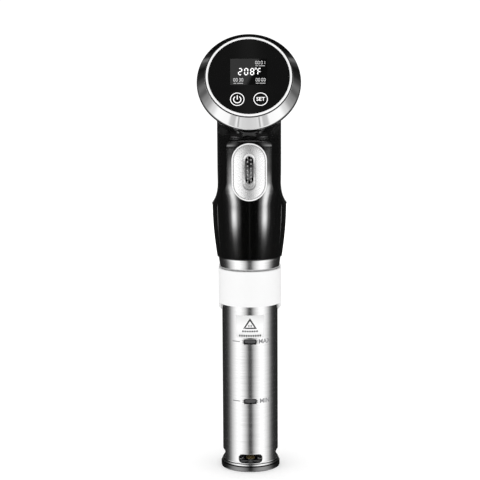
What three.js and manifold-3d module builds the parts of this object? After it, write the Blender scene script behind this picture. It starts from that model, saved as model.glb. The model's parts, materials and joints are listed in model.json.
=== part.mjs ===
// Sous vide circulator: an immersion heater and pump in a steel tube, under a tilted
// round control head, with a scroll wheel and a spring clip that holds a pot's wall.
// Millimetres, +Z up, the front faces -Y, origin at the centre of the base's bottom face.
import * as THREE from 'three';
import { mergeVertices } from 'three/addons/utils/BufferGeometryUtils.js';
import Module from 'manifold-3d';

const wasm = await Module();
wasm.setup();

// ---------------------------------------------------------------- driving dimensions
const GAP = 0.3;                 // clearance between neighbouring pieces
const FINE = 32;                 // facets round the large outer pieces
const COARSE = 14;               // facets round the small inner pieces

const TUBE_R = 25.4;
const TUBE_WALL = 0.8;
const TUBE_BOTTOM = 6.7;
const TUBE_TOP = 195;
const TUBE_INNER_R = TUBE_R - TUBE_WALL;
const PLUG_R = TUBE_INNER_R - GAP;      // discs that fit inside the tube

const SLOT_Z = 12;               // water slots, at the front, back, left and right
const SLOT_WIDTH = 21.8;
const SLOT_HEIGHT = 8;
const MIN_LEVEL_Z = 66;
const MAX_LEVEL_Z = 121.2;
const LEVEL_SLOT_WIDTH = 12.1;
const LEVEL_SLOT_HEIGHT = 4.4;

const BASE_R = 27;
const BASE_HEIGHT = 6.4;

const BAND_R = 28.5;             // clamp collar round the tube
const BAND_BOTTOM = 153.3;
const BAND_TOP = 185.5;
const BRACKET_BOTTOM = 146;      // the collar's deeper rear half
const BRACKET_BACK = 31;
const PIVOT_Y = 38;              // clip hinge
const PIVOT_Z = 176;
const JAW_BOTTOM = 110;
const JAW_ARM_Y = 41.2;
const LEVER_WIDTH = 28;

const COLLAR_BOTTOM = 185.8;
const COLLAR_TOP = 195.8;
const COLLAR_R = 28;

const BODY_BOTTOM = 196.2;
const BODY_WALL = 2.2;
const BARREL_FOOT_R = 29.7;
const BARREL_R = 33.8;
const SHOULDER_Z = 244.6;        // top of the barrel, where the side scoops start
const SCOOP_HEIGHT = 20;
const NECK_R = 28.8;
const PANEL_ANGLE = THREE.MathUtils.degToRad(36.7);  // half-angle of the raised front panel
const PANEL_FOOT_ANGLE = THREE.MathUtils.degToRad(57);
const PANEL_EDGE = THREE.MathUtils.degToRad(3);
const PANEL_FLATTER = 6.2;       // what the panel's arc gains in radius from barrel to neck
const FLARE_Z = 248;             // the panel narrows over this stretch
const FLARE_HEIGHT = 20;
const PANEL_TOP = 297;           // the panel leans back to the neck from here
const PANEL_LEAN = 9;
const ELBOW_Z = 306;             // where the neck starts to lean towards the head
const SPLIT_Y = -18.4;           // seam plane between the front and rear shells
const FRONT_SHELL_TOP = 304;

const HEAD_TILT = THREE.MathUtils.degToRad(63);
const HEAD_CENTRE = new THREE.Vector3(0, -13, 353.1);
const BEZEL_BACK_R = 46.2;
const BEZEL_FRONT_R = 38.9;
const BEZEL_DEPTH = 12.6;
const BOWL_RIM_R = 45;
const LENS_R = 35.9;
const TRIM_R = 38.7;

const PLATE_Z = 275.6;           // oval plate round the scroll wheel
const PLATE_WIDTH = 30.5;
const PLATE_HEIGHT = 50.8;
const DISH_Z = 276.4;
const DISH_WIDTH = 11;
const DISH_HEIGHT = 32.7;
const WHEEL_Z = 277.5;
const WHEEL_Y = -21.9;
const WHEEL_R = 16;
const WHEEL_WIDTH = 7.2;
const WHEEL_TEETH = 34;
const WELL_FRONT = 32.9;         // distance of the wheel well's face from the tube's axis

const BULKHEAD_Z = 184;
const BULKHEAD_THICKNESS = 4;
const PUMP_PLATE_Z = 26;
const PUMP_PLATE_THICKNESS = 4;
const SHAFT_R = 2.5;
const ROD_RING_R = 20.5;
const ROD_ANGLES = [60, 180, 300];

// ---------------------------------------------------------------- materials
function material(color, roughness, metalness) {
  return new THREE.MeshStandardMaterial({ color, roughness, metalness });
}
const gloss_black = () => material(0x0b0b0c, 0.12, 0);
const matt_black = () => material(0x161617, 0.6, 0);
const steel = () => material(0xc4c6c9, 0.28, 1);
const chrome = () => material(0xe4e6e8, 0.06, 1);
const satin_silver = () => material(0xcfd1d3, 0.35, 1);
const white_plastic = () => material(0xf1f1f0, 0.55, 0);
const grey_rubber = () => material(0x8d8f92, 0.8, 0);
const black_rubber = () => material(0x1b1b1c, 0.8, 0);
const circuit_green = () => material(0x1d5b3a, 0.5, 0);
const copper = () => material(0xb36b3c, 0.35, 1);
const brass = () => material(0xc2a14d, 0.3, 1);
const nylon = () => material(0xe9e4d6, 0.5, 0);

// ---------------------------------------------------------------- geometry helpers
// A closed geometry as a solid that can be joined and cut.
function solid(geometry) {
  const bare = geometry.clone();
  bare.deleteAttribute('normal');
  bare.deleteAttribute('uv');
  const merged = mergeVertices(bare, 1e-4);
  const triangles = [];
  for (let i = 0; i < merged.index.count; i += 3) {
    const [a, b, c] = [0, 1, 2].map((corner) => merged.index.getX(i + corner));
    if (a !== b && b !== c && c !== a) {
      triangles.push(a, b, c);
    }
  }
  return new wasm.Manifold(new wasm.Mesh({
    numProp: 3,
    vertProperties: Float32Array.from(merged.attributes.position.array),
    triVerts: Uint32Array.from(triangles),
  }));
}

function geometryOf(body) {
  const mesh = body.getMesh();
  const geometry = new THREE.BufferGeometry();
  geometry.setAttribute('position', new THREE.BufferAttribute(mesh.vertProperties, 3));
  geometry.setIndex(new THREE.BufferAttribute(mesh.triVerts, 1));
  return geometry;
}

function joined(geometries) {
  return geometries.map(solid).reduce((sum, next) => sum.add(next));
}

function cut(geometry, cutters) {
  return geometryOf(cutters.map(solid).reduce((rest, cutter) => rest.subtract(cutter), solid(geometry)));
}

// Turned shape about Z from [radius, height] points, listed with the outer wall rising.
function turned(profile, facets = COARSE) {
  const points = profile.map(([radius, height]) => new THREE.Vector2(radius, height));
  return new THREE.LatheGeometry(points, facets).rotateX(Math.PI / 2);
}

function ring(innerR, outerR, bottom, top, facets = COARSE) {
  return turned([
    [innerR, bottom], [outerR, bottom], [outerR, top], [innerR, top], [innerR, bottom],
  ], facets);
}

function rod(radius, bottom, top, facets = 10) {
  return turned([[0, bottom], [radius, bottom], [radius, top], [0, top]], facets);
}

function box([x0, y0, z0], [x1, y1, z1]) {
  const size = new THREE.BoxGeometry(x1 - x0, y1 - y0, z1 - z0);
  return size.translate((x0 + x1) / 2, (y0 + y1) / 2, (z0 + z1) / 2);
}

// Outline with round ends, centred on the origin, longer along whichever side is longer.
function pill(width, height) {
  const radius = Math.min(width, height) / 2;
  const halfX = width / 2 - radius;
  const halfY = height / 2 - radius;
  const shape = new THREE.Shape();
  if (halfX > 0) {
    shape.absarc(halfX, 0, radius, -Math.PI / 2, Math.PI / 2);
    shape.absarc(-halfX, 0, radius, Math.PI / 2, Math.PI * 1.5);
  } else {
    shape.absarc(0, halfY, radius, 0, Math.PI);
    shape.absarc(0, -halfY, radius, Math.PI, Math.PI * 2);
  }
  return shape;
}

// Extrusion of an outline that is drawn in X and Z, running back from y = front to y = back.
function facingFront(shape, front, back, arcSteps = 5) {
  const options = { depth: back - front, bevelEnabled: false, curveSegments: arcSteps };
  return new THREE.ExtrudeGeometry(shape, options).rotateX(Math.PI / 2).translate(0, back, 0);
}

// Rod lying along X.
function crossRod(radius, x0, x1, y, z, facets = 16) {
  return rod(radius, x0, x1, facets).rotateY(Math.PI / 2).translate(0, y, z);
}

function polar(radius, degrees) {
  const angle = THREE.MathUtils.degToRad(degrees);
  return [radius * Math.cos(angle), radius * Math.sin(angle)];
}

// Closed skin through rings of equally many points, each ring counter-clockwise from above.
function loft(rings) {
  const count = rings[0].length;
  const vertices = rings.flat();
  const index = [];
  for (let i = 0; i < rings.length - 1; i++) {
    for (let j = 0; j < count; j++) {
      const a = i * count + j;
      const b = i * count + (j + 1) % count;
      index.push(a, b, b + count, a, b + count, a + count);
    }
  }
  const last = (rings.length - 1) * count;
  const foot = vertices.length;
  vertices.push(middle(rings[0]), middle(rings[rings.length - 1]));
  for (let j = 0; j < count; j++) {
    const k = (j + 1) % count;
    index.push(foot, k, j, foot + 1, last + j, last + k);
  }
  const geometry = new THREE.BufferGeometry().setFromPoints(vertices);
  geometry.setIndex(index);
  return geometry;
}

function middle(points) {
  const sum = points.reduce((total, point) => total.add(point), new THREE.Vector3());
  return sum.divideScalar(points.length);
}

class PathThrough extends THREE.Curve {
  constructor(pointAt) {
    super();
    this.pointAt = pointAt;
  }

  getPoint(t, target = new THREE.Vector3()) {
    return target.copy(this.pointAt(t));
  }
}

function wire(curve, radius, steps, sides) {
  const section = new THREE.Shape();
  for (let i = 0; i < sides; i++) {
    const angle = (i / sides) * Math.PI * 2;
    const [x, y] = [radius * Math.cos(angle), radius * Math.sin(angle)];
    if (i === 0) {
      section.moveTo(x, y);
    } else {
      section.lineTo(x, y);
    }
  }
  return new THREE.ExtrudeGeometry(section, { extrudePath: curve, steps, bevelEnabled: false });
}

// ---------------------------------------------------------------- body shape
const clamp01 = (value) => Math.min(Math.max(value, 0), 1);
const easeOut = (t) => 1 - (1 - clamp01(t)) ** 2;
const smooth = (t) => clamp01(t) ** 2 * (3 - 2 * clamp01(t));

function barrelRadius(z) {
  const rise = easeOut((z - BODY_BOTTOM) / (SHOULDER_Z - BODY_BOTTOM));
  return THREE.MathUtils.lerp(BARREL_FOOT_R, BARREL_R, rise);
}

// The neck is round at the front, flat-sided, and keeps the barrel's radius at the rear.
function neckRadius(angle) {
  if (angle < Math.PI / 2) {
    return NECK_R;
  }
  return Math.min(BARREL_R, NECK_R / Math.max(Math.sin(angle), 0.01));
}

function panelAngle(z) {
  const flare = (1 - clamp01((z - FLARE_Z) / FLARE_HEIGHT)) ** 2;
  return THREE.MathUtils.lerp(PANEL_ANGLE, PANEL_FOOT_ANGLE, flare);
}

// The panel keeps the barrel's foremost line, and its arc is flatter further up.
function panelRadius(angle, z) {
  const flatter = PANEL_FLATTER * smooth((z - SHOULDER_Z) / SCOOP_HEIGHT);
  const arc = (barrelRadius(z) + flatter) ** 2 - (flatter * Math.sin(angle)) ** 2;
  return Math.sqrt(arc) - flatter * Math.cos(angle);
}

// angle runs from the front, 0, round to the rear, pi.
function bodyRadius(angle, z) {
  const shoulder = (1 - clamp01((z - SHOULDER_Z) / SCOOP_HEIGHT)) ** 3;
  const side = THREE.MathUtils.lerp(neckRadius(angle), barrelRadius(z), shoulder);
  const across = 1 - smooth((angle - panelAngle(z)) / PANEL_EDGE);
  const below = 1 - smooth((z - PANEL_TOP) / PANEL_LEAN);
  return THREE.MathUtils.lerp(side, panelRadius(angle, z), across * below);
}

function anglesRound(count) {
  return Array.from({ length: count }, (_, i) => (i / count) * Math.PI * 2);
}

function foldedAngle(angle) {
  return angle > Math.PI ? Math.PI * 2 - angle : angle;
}

function levelRing(z, inset) {
  return anglesRound(FINE).map((angle) => {
    const radius = bodyRadius(foldedAngle(angle), z) - inset;
    return new THREE.Vector3(radius * Math.sin(angle), -radius * Math.cos(angle), z);
  });
}

const headNormal = new THREE.Vector3(0, -Math.sin(HEAD_TILT), Math.cos(HEAD_TILT));
const headUp = new THREE.Vector3(0, Math.cos(HEAD_TILT), Math.sin(HEAD_TILT));
const BOWL_SETBACK = 0.5;        // the bowl's rim stops this far behind the bezel

function headPoint(up, out) {
  return HEAD_CENTRE.clone().addScaledVector(headUp, up).addScaledVector(headNormal, out);
}

// Rings that lean from the level neck to the tilted head. Each is spanned by its front and
// back points, and its outline changes from the neck's to a circle.
const elbowFront = new THREE.LineCurve3(
  new THREE.Vector3(0, -NECK_R, ELBOW_Z), headPoint(-BOWL_RIM_R, -BOWL_SETBACK));
const elbowBack = new THREE.CubicBezierCurve3(
  new THREE.Vector3(0, BARREL_R, ELBOW_Z), new THREE.Vector3(0, BARREL_R, ELBOW_Z + 40),
  new THREE.Vector3(0, 26, 377), headPoint(BOWL_RIM_R, -BOWL_SETBACK));
const neckShift = (BARREL_R - NECK_R) / 2;
const neckDepth = (BARREL_R + NECK_R) / 2;

function elbowRing(t, inset) {
  const front = elbowFront.getPoint(t);
  const back = elbowBack.getPoint(t);
  const centre = front.clone().add(back).multiplyScalar(0.5);
  const depth = front.distanceTo(back) / 2;
  const along = back.clone().sub(front).normalize();
  const halfWidth = THREE.MathUtils.lerp(NECK_R, BOWL_RIM_R, smooth((t - 0.22) / 0.78));
  return anglesRound(FINE).map((angle) => {
    const radius = neckRadius(foldedAngle(angle));
    const across = THREE.MathUtils.lerp(radius * Math.sin(angle) / NECK_R, Math.sin(angle), t);
    const neckY = (-radius * Math.cos(angle) - neckShift) / neckDepth;
    const forward = THREE.MathUtils.lerp(neckY, -Math.cos(angle), t);
    const point = centre.clone().addScaledVector(along, (depth - inset) * forward);
    point.x = (halfWidth - inset) * across;
    return point;
  });
}

const INNER_STEPS = [0, 26, 47.5, 57, 73.4, 101.8, 108.8];
const LEVEL_STEPS = [0, 6, 14, 26, 37, 48.4, 50.9, 53.4, 58.4, 68.4, 100.8, 103.8, 106.8, 108.8];
const ELBOW_STEPS = [0, 0.18, 0.36, 0.54, 0.72, 0.87, 1];

function bodyOuter() {
  const level = LEVEL_STEPS.map((step) => levelRing(BODY_BOTTOM + step, 0));
  return loft([...level, ...ELBOW_STEPS.map((t) => elbowRing(t, 0))]);
}

function bodyInner() {
  const heights = INNER_STEPS.map((step) => BODY_BOTTOM + Math.max(step, BODY_WALL));
  const level = heights.map((z) => levelRing(z, BODY_WALL));
  const rim = elbowRing(1, BODY_WALL);
  const mouth = rim.map((point) => point.clone().addScaledVector(headNormal, 4));
  const elbow = ELBOW_STEPS.slice(0, -1).map((t) => elbowRing(t, BODY_WALL));
  return loft([...level, ...elbow, rim, mouth]);
}

const SCREW_X = 16;
const SCREW_HEIGHTS = [222, 297];
const GLAND_Z = 280;

function rearHole(radius, x, z) {
  return rod(radius, 20, 45).rotateX(-Math.PI / 2).translate(x, 0, z);
}

function bodyShell() {
  const shaftHole = rod(9, BODY_BOTTOM - 2, BODY_BOTTOM + 5, COARSE);
  return solid(bodyOuter()).subtract(solid(bodyInner())).subtract(solid(shaftHole));
}

function frontZone(grow) {
  return box([-60, -60, 150], [60, SPLIT_Y - GAP / 2 + grow, FRONT_SHELL_TOP + grow]);
}

function frontShell() {
  const wellHole = facingFront(pill(16, 39), -45, -20).translate(0, 0, DISH_Z);
  return geometryOf(bodyShell().intersect(solid(frontZone(0))).subtract(solid(wellHole)));
}

function rearShell() {
  const holes = [rearHole(6.3, 0, GLAND_Z)];
  for (const z of SCREW_HEIGHTS) {
    holes.push(rearHole(3.2, SCREW_X, z), rearHole(3.2, -SCREW_X, z));
  }
  const shell = bodyShell().subtract(solid(frontZone(GAP)));
  return geometryOf(holes.map(solid).reduce((rest, hole) => rest.subtract(hole), shell));
}

function caseScrew(x, z) {
  const surface = Math.sqrt(barrelRadius(z) ** 2 - x * x);
  const profile = [
    [0, surface - 9], [1.5, surface - 9], [1.5, surface - 3], [2.8, surface - 3],
    [2.8, surface - 1], [0, surface - 1],
  ];
  return turned(profile, 10).rotateX(-Math.PI / 2).translate(x, 0, z);
}

function cableGland() {
  const profile = [
    [3.5, 29], [6, 29], [6, 34.1], [8, 34.1], [8, 36.3], [6.4, 37], [5.4, 44], [3.5, 44], [3.5, 29],
  ];
  return turned(profile).rotateX(-Math.PI / 2).translate(0, 0, GLAND_Z);
}

// ---------------------------------------------------------------- head, in its own tilted frame
function bezelCone() {
  return turned([
    [43.8, 0], [BEZEL_BACK_R, 0], [BEZEL_BACK_R, 1], [BEZEL_FRONT_R, BEZEL_DEPTH],
    [37.2, BEZEL_DEPTH], [37.2, 10], [33.2, 10], [33.2, 8.6], [38.6, 8.6], [43.8, 0],
  ], FINE);
}

function lensTrimRing() {
  return turned([
    [LENS_R + GAP, 12.9], [TRIM_R, 12.9], [TRIM_R - 0.3, 13.9], [TRIM_R - 1.2, 14.3],
    [LENS_R + GAP, 13.9], [LENS_R + GAP, 12.9],
  ], FINE);
}

function glassLens() {
  return turned([[0, 11.8], [LENS_R, 11.8], [LENS_R, 13.3], [LENS_R - 0.3, 13.6], [0, 13.6]], FINE);
}

function touchSpring(x, y) {
  const turns = 3;
  const path = new PathThrough((t) => {
    const angle = t * turns * Math.PI * 2;
    return new THREE.Vector3(x + 3.6 * Math.cos(angle), y + 3.6 * Math.sin(angle), 6.8 + 4.1 * t);
  });
  return wire(path, 0.35, 24, 4);
}

// ---------------------------------------------------------------- scroll wheel and its plate
function curvedPlate() {
  const arc = BARREL_R + PANEL_FLATTER;
  const shell = solid(ring(arc + GAP, arc + 1.5, 240, 310, 48).translate(0, PANEL_FLATTER, 0));
  const outline = pill(PLATE_WIDTH, PLATE_HEIGHT);
  const blank = solid(facingFront(outline, -40, -20, 10).translate(0, 0, PLATE_Z));
  const window = solid(facingFront(pill(DISH_WIDTH, DISH_HEIGHT), -45, -15).translate(0, 0, DISH_Z));
  return geometryOf(shell.intersect(blank).subtract(window));
}

function wheelWell() {
  const face = facingFront(pill(15, 37), -WELL_FRONT, -WELL_FRONT + 1.5).translate(0, 0, DISH_Z);
  const cheek = (side) => box(
    [side * 5.7 - 1, -WELL_FRONT + 1, WHEEL_Z - 9], [side * 5.7 + 1, WHEEL_Y + 4, WHEEL_Z + 9]);
  const slot = box([-3.9, -40, WHEEL_Z - 13.4], [3.9, -28, WHEEL_Z + 13.4]);
  const body = joined([face, cheek(-1), cheek(1)]);
  return geometryOf(body.subtract(solid(slot)).subtract(solid(crossRod(1.8, -8, 8, WHEEL_Y, WHEEL_Z))));
}

function scrollWheel() {
  const outline = new THREE.Shape();
  const corners = [[0, -0.7], [0.15, 0], [0.65, 0], [0.8, -0.7]];
  for (let tooth = 0; tooth < WHEEL_TEETH; tooth++) {
    for (const [part, step] of corners) {
      const angle = ((tooth + part) / WHEEL_TEETH) * Math.PI * 2;
      const [x, y] = [(WHEEL_R + step) * Math.cos(angle), (WHEEL_R + step) * Math.sin(angle)];
      if (tooth === 0 && part === 0) {
        outline.moveTo(x, y);
      } else {
        outline.lineTo(x, y);
      }
    }
  }
  const bore = new THREE.Path();
  bore.absarc(0, 0, 1.8, 0, Math.PI * 2);
  outline.holes.push(bore);
  const options = { depth: WHEEL_WIDTH, bevelEnabled: false, curveSegments: 6 };
  return new THREE.ExtrudeGeometry(outline, options).translate(0, 0, -WHEEL_WIDTH / 2).rotateY(Math.PI / 2);
}

function encoderCase() {
  return cut(box([7.4, -26.5, 272], [13.4, -17.3, 283]), [crossRod(1.8, 5, 15, WHEEL_Y, WHEEL_Z)]);
}

// ---------------------------------------------------------------- electronics in the neck
function triacHeatsink() {
  const fins = [4, 8, 12, 16].map((x) => box([x, 7.5, 291], [x + 1.6, 17, 315]));
  return geometryOf(joined([box([4, 6.3, 291], [17.6, 8.5, 315]), ...fins]));
}

// ---------------------------------------------------------------- motor
function coolingFan() {
  const blades = Array.from({ length: 7 }, (_, i) => {
    const blade = box([4, -0.6, -3.2], [17, 0.6, 3.2]).rotateX(THREE.MathUtils.degToRad(35));
    return blade.rotateZ((i / 7) * Math.PI * 2).translate(0, 0, 256.5);
  });
  return cut(geometryOf(joined([rod(5.5, 253, 260, COARSE), ...blades])), [rod(2.3, 250, 263)]);
}

function motorCan() {
  return turned([
    [3, 214], [19, 214], [19, 248], [18, 248], [18, 215], [3, 215], [3, 214],
  ], 20);
}

// ---------------------------------------------------------------- tube, heater and pump
function steelTube() {
  const blank = ring(TUBE_INNER_R, TUBE_R, TUBE_BOTTOM, TUBE_TOP, FINE);
  const slots = [0, 1, 2, 3].map((quarter) => {
    const slot = facingFront(pill(SLOT_WIDTH, SLOT_HEIGHT), -30, -12).translate(0, 0, SLOT_Z);
    return slot.rotateZ(quarter * Math.PI / 2);
  });
  const levels = [MIN_LEVEL_Z, MAX_LEVEL_Z].map((z) => {
    return facingFront(pill(LEVEL_SLOT_WIDTH, LEVEL_SLOT_HEIGHT), -30, -20).translate(0, 0, z);
  });
  return cut(blank, [...slots, ...levels]);
}

function baseCap() {
  const cup = turned([
    [0, 0], [BASE_R - 0.8, 0], [BASE_R, 0.8], [BASE_R, BASE_HEIGHT - 0.8], [BASE_R - 0.8, BASE_HEIGHT],
    [PLUG_R, BASE_HEIGHT], [PLUG_R, 7.6], [21.5, 7.6], [21.5, 2.5], [0, 2.5],
  ], FINE);
  const inlets = Array.from({ length: 4 }, (_, i) => {
    const [x, y] = polar(14, i * 90 + 45);
    return rod(4.5, -1, 5).translate(x, y, 0);
  });
  return cut(cup, inlets);
}

function bulkhead() {
  const disc = rod(PLUG_R, BULKHEAD_Z, BULKHEAD_Z + BULKHEAD_THICKNESS, FINE);
  return cut(disc, [rod(5.5, BULKHEAD_Z - 1, BULKHEAD_Z + BULKHEAD_THICKNESS + 1, COARSE)]);
}

function pumpPlate() {
  const disc = rod(PLUG_R, PUMP_PLATE_Z, PUMP_PLATE_Z + PUMP_PLATE_THICKNESS, FINE);
  const holes = Array.from({ length: 6 }, (_, i) => {
    const [x, y] = polar(13.5, i * 60 + 30);
    return rod(4, PUMP_PLATE_Z - 1, PUMP_PLATE_Z + 6, 8).translate(x, y, 0);
  });
  return cut(disc, [rod(6.5, PUMP_PLATE_Z - 1, PUMP_PLATE_Z + 6, COARSE), ...holes]);
}

// One tube: down an outer leg, round the coil, and back up an inner leg.
function heatingCoil() {
  const top = BULKHEAD_Z - GAP;
  const coilTop = 58;
  const coilBottom = 38;
  const coilR = 13;
  const innerR = 6.5;
  const turns = 2;
  const start = 150;
  const points = [];
  for (let z = top; z > coilTop + 8; z -= 14) {
    points.push(new THREE.Vector3(...polar(coilR, start), z));
  }
  for (let i = 0; i <= 40; i++) {
    const z = THREE.MathUtils.lerp(coilTop, coilBottom, i / 40);
    points.push(new THREE.Vector3(...polar(coilR, start + (i / 40) * turns * 360), z));
  }
  const end = start + turns * 360;
  const side = end + 85;
  points.push(new THREE.Vector3(...polar(10.8, end + 35), coilBottom - 2));
  points.push(new THREE.Vector3(...polar(7.6, end + 70), coilBottom + 1));
  for (let z = coilBottom + 8; z < top; z += 15) {
    points.push(new THREE.Vector3(...polar(innerR, side), z));
  }
  points.push(new THREE.Vector3(...polar(innerR, side), top));
  return wire(new THREE.CatmullRomCurve3(points, false, 'centripetal'), 2.6, 72, 5);
}

function feeler(radius, bottom, angle) {
  const [x, y] = polar(19.3, angle);
  const profile = [[0, bottom], [radius * 0.7, bottom + radius * 0.3], [radius, bottom + radius]];
  profile.push([radius, BULKHEAD_Z - GAP], [0, BULKHEAD_Z - GAP]);
  return turned(profile, 10).translate(x, y, 0);
}

function impeller() {
  const blades = Array.from({ length: 6 }, (_, i) => {
    return box([4, -0.8, 10], [19, 0.8, 18]).rotateZ((i / 6) * Math.PI * 2);
  });
  const disc = rod(19, 17, 18.6, 24);
  return cut(geometryOf(joined([rod(5.5, 9.6, 20, COARSE), disc, ...blades])), [rod(2.8, 8, 22)]);
}

// ---------------------------------------------------------------- collar and spring clip
function clampCollar() {
  const band = ring(TUBE_R + GAP, BAND_R, BAND_BOTTOM, BAND_TOP, FINE);
  const edge = 2.6;
  const half = new THREE.Shape();
  half.moveTo(-BAND_R + edge, BRACKET_BOTTOM);
  half.lineTo(BAND_R - edge, BRACKET_BOTTOM);
  half.lineTo(BAND_R, BRACKET_BOTTOM + edge);
  half.lineTo(BAND_R, BAND_TOP);
  half.lineTo(-BAND_R, BAND_TOP);
  half.lineTo(-BAND_R, BRACKET_BOTTOM + edge);
  half.closePath();
  const slab = facingFront(half, 0.5, BRACKET_BACK);
  const rounded = solid(rod(34.5, 100, 200, 48)).intersect(solid(slab));
  const ear = (side) => box(
    [side * 16.2 - 1.8, BRACKET_BACK - 2, PIVOT_Z - 7], [side * 16.2 + 1.8, PIVOT_Y + 5, PIVOT_Z + 7]);
  const tongue = box([-12, BRACKET_BACK - 4, JAW_BOTTOM], [12, BRACKET_BACK, BRACKET_BOTTOM + 3]);
  const body = solid(band).add(rounded).add(joined([ear(-1), ear(1), tongue]));
  const bore = solid(rod(TUBE_R + GAP, 100, 200, FINE));
  return geometryOf(body.subtract(bore).subtract(solid(crossRod(2.3, -25, 25, PIVOT_Y, PIVOT_Z))));
}

function clipLever() {
  const half = LEVER_WIDTH / 2;
  const arm = box([-half, JAW_ARM_Y, JAW_BOTTOM], [half, JAW_ARM_Y + 3, PIVOT_Z]);
  const knuckle = crossRod(5, -half, half, PIVOT_Y, PIVOT_Z);
  const tab = box([-half, 2, -2], [half, 5, 40]).rotateX(THREE.MathUtils.degToRad(-17));
  const springRoom = crossRod(5.3, -7.3, 7.3, PIVOT_Y, PIVOT_Z);
  const pinHole = crossRod(2.3, -25, 25, PIVOT_Y, PIVOT_Z);
  const body = joined([arm, knuckle, tab.translate(0, PIVOT_Y, PIVOT_Z)]);
  return geometryOf(body.subtract(solid(springRoom)).subtract(solid(pinHole)));
}

function clipSpring() {
  const turns = 5;
  const path = new PathThrough((t) => {
    const angle = t * turns * Math.PI * 2;
    const [y, z] = [PIVOT_Y + 3.5 * Math.cos(angle), PIVOT_Z + 3.5 * Math.sin(angle)];
    return new THREE.Vector3(-5.5 + 11 * t, y, z);
  });
  return wire(path, 0.6, 50, 4);
}

// Thin film that follows the tube's front.
function heatLabel() {
  const film = solid(ring(TUBE_R + GAP, TUBE_R + 2 * GAP, 124.8, 145.4, FINE));
  return geometryOf(film.intersect(solid(box([-12.6, -30, 120], [12.6, -10, 150]))));
}

// ---------------------------------------------------------------- assembly
const object = new THREE.Group();

function put(group, name, geometry, surface) {
  const mesh = new THREE.Mesh(geometry, surface);
  mesh.name = name;
  group.add(mesh);
  return mesh;
}

function buildTube() {
  const group = new THREE.Group();
  put(group, 'base_cap', baseCap(), matt_black());
  put(group, 'steel_tube', steelTube(), steel());
  put(group, 'collar_ring', turned([
    [TUBE_R + GAP, COLLAR_BOTTOM], [26.2, COLLAR_BOTTOM], [27.1, COLLAR_BOTTOM + 1],
    [COLLAR_R, COLLAR_TOP - 1], [COLLAR_R, COLLAR_TOP], [TUBE_R + GAP, COLLAR_TOP],
    [TUBE_R + GAP, COLLAR_BOTTOM],
  ], FINE), steel());
  put(group, 'heat_label', heatLabel(), white_plastic());
  put(group, 'bulkhead', bulkhead(), steel());
  put(group, 'bulkhead_seal', ring(20, PLUG_R, 188.3, 190.3, 20), black_rubber());
  put(group, 'shaft_seal', ring(SHAFT_R + GAP, 5.2, 184, 188), black_rubber());
  put(group, 'pump_plate', pumpPlate(), nylon());
  put(group, 'lower_bush', ring(SHAFT_R + GAP, 6.2, 25.5, 30.5), nylon());
  put(group, 'heating_coil', heatingCoil(), steel());
  ROD_ANGLES.forEach((angle, i) => {
    const stay = rod(2, PUMP_PLATE_Z + PUMP_PLATE_THICKNESS + GAP, BULKHEAD_Z - GAP, 10);
    const [x, y] = polar(ROD_RING_R, angle);
    put(group, `stay_rod_${i + 1}`, stay, steel()).position.set(x, y, 0);
  });
  put(group, 'temperature_probe', feeler(2, 50, 105), steel());
  put(group, 'level_electrode_low', feeler(1.5, MIN_LEVEL_Z, 240), steel());
  put(group, 'level_electrode_high', feeler(1.5, MAX_LEVEL_Z, 268), steel());
  return group;
}

function buildRotor() {
  const group = new THREE.Group();
  put(group, 'impeller', impeller(), nylon());
  const nut = new THREE.CylinderGeometry(4.6, 4.6, 3.6, 6).rotateX(Math.PI / 2).translate(0, 0, 7.4);
  put(group, 'impeller_nut', cut(nut, [rod(2.8, 4, 11)]), brass());
  put(group, 'drive_shaft', rod(SHAFT_R, 5, 204.5, 14), steel());
  put(group, 'shaft_coupling', ring(SHAFT_R + GAP, 6, 199, 211), brass());
  put(group, 'motor_shaft', rod(2, 205.5, 262), steel());
  put(group, 'motor_rotor', ring(2.3, 12, 218, 242), copper());
  put(group, 'cooling_fan', coolingFan(), matt_black());
  return group;
}

function buildMotor() {
  const group = new THREE.Group();
  put(group, 'motor_bracket', ring(7, 28, 211.5, 213.7, 20), steel());
  put(group, 'motor_can', motorCan(), steel());
  put(group, 'motor_stator', ring(12.6, 17.7, 217, 243), copper());
  put(group, 'motor_end_cap', ring(3, 19, 248.3, 250.5, 20), matt_black());
  return group;
}

function buildElectronics() {
  const group = new THREE.Group();
  put(group, 'power_board', box([-21, 4.2, 264], [21, 5.8, 330]), circuit_green());
  put(group, 'transformer', box([-20, 6.3, 268], [-2, 23, 286]), matt_black());
  put(group, 'relay', box([3, 6.3, 268], [20, 21, 283]), white_plastic());
  put(group, 'filter_capacitor', rod(7, 290, 316, COARSE).translate(-11, 13.6, 0), matt_black());
  put(group, 'triac_heatsink', triacHeatsink(), satin_silver());
  put(group, 'encoder', encoderCase(), matt_black());
  put(group, 'encoder_board', box([13.8, -26, 264], [15.2, -12, 291]), circuit_green());
  return group;
}

function buildBody() {
  const group = new THREE.Group();
  put(group, 'rear_shell', rearShell(), gloss_black());
  put(group, 'front_shell', frontShell(), gloss_black());
  put(group, 'cable_gland', cableGland(), black_rubber());
  let number = 1;
  for (const z of SCREW_HEIGHTS) {
    for (const x of [-SCREW_X, SCREW_X]) {
      put(group, `case_screw_${number}`, caseScrew(x, z), steel());
      number += 1;
    }
  }
  put(group, 'wheel_plate', curvedPlate(), satin_silver());
  put(group, 'wheel_well', wheelWell(), chrome());
  put(group, 'scroll_wheel', scrollWheel(), matt_black()).position.set(0, WHEEL_Y, WHEEL_Z);
  put(group, 'wheel_axle', crossRod(1.5, -7.2, 13, WHEEL_Y, WHEEL_Z, 12), steel());
  return group;
}

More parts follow.
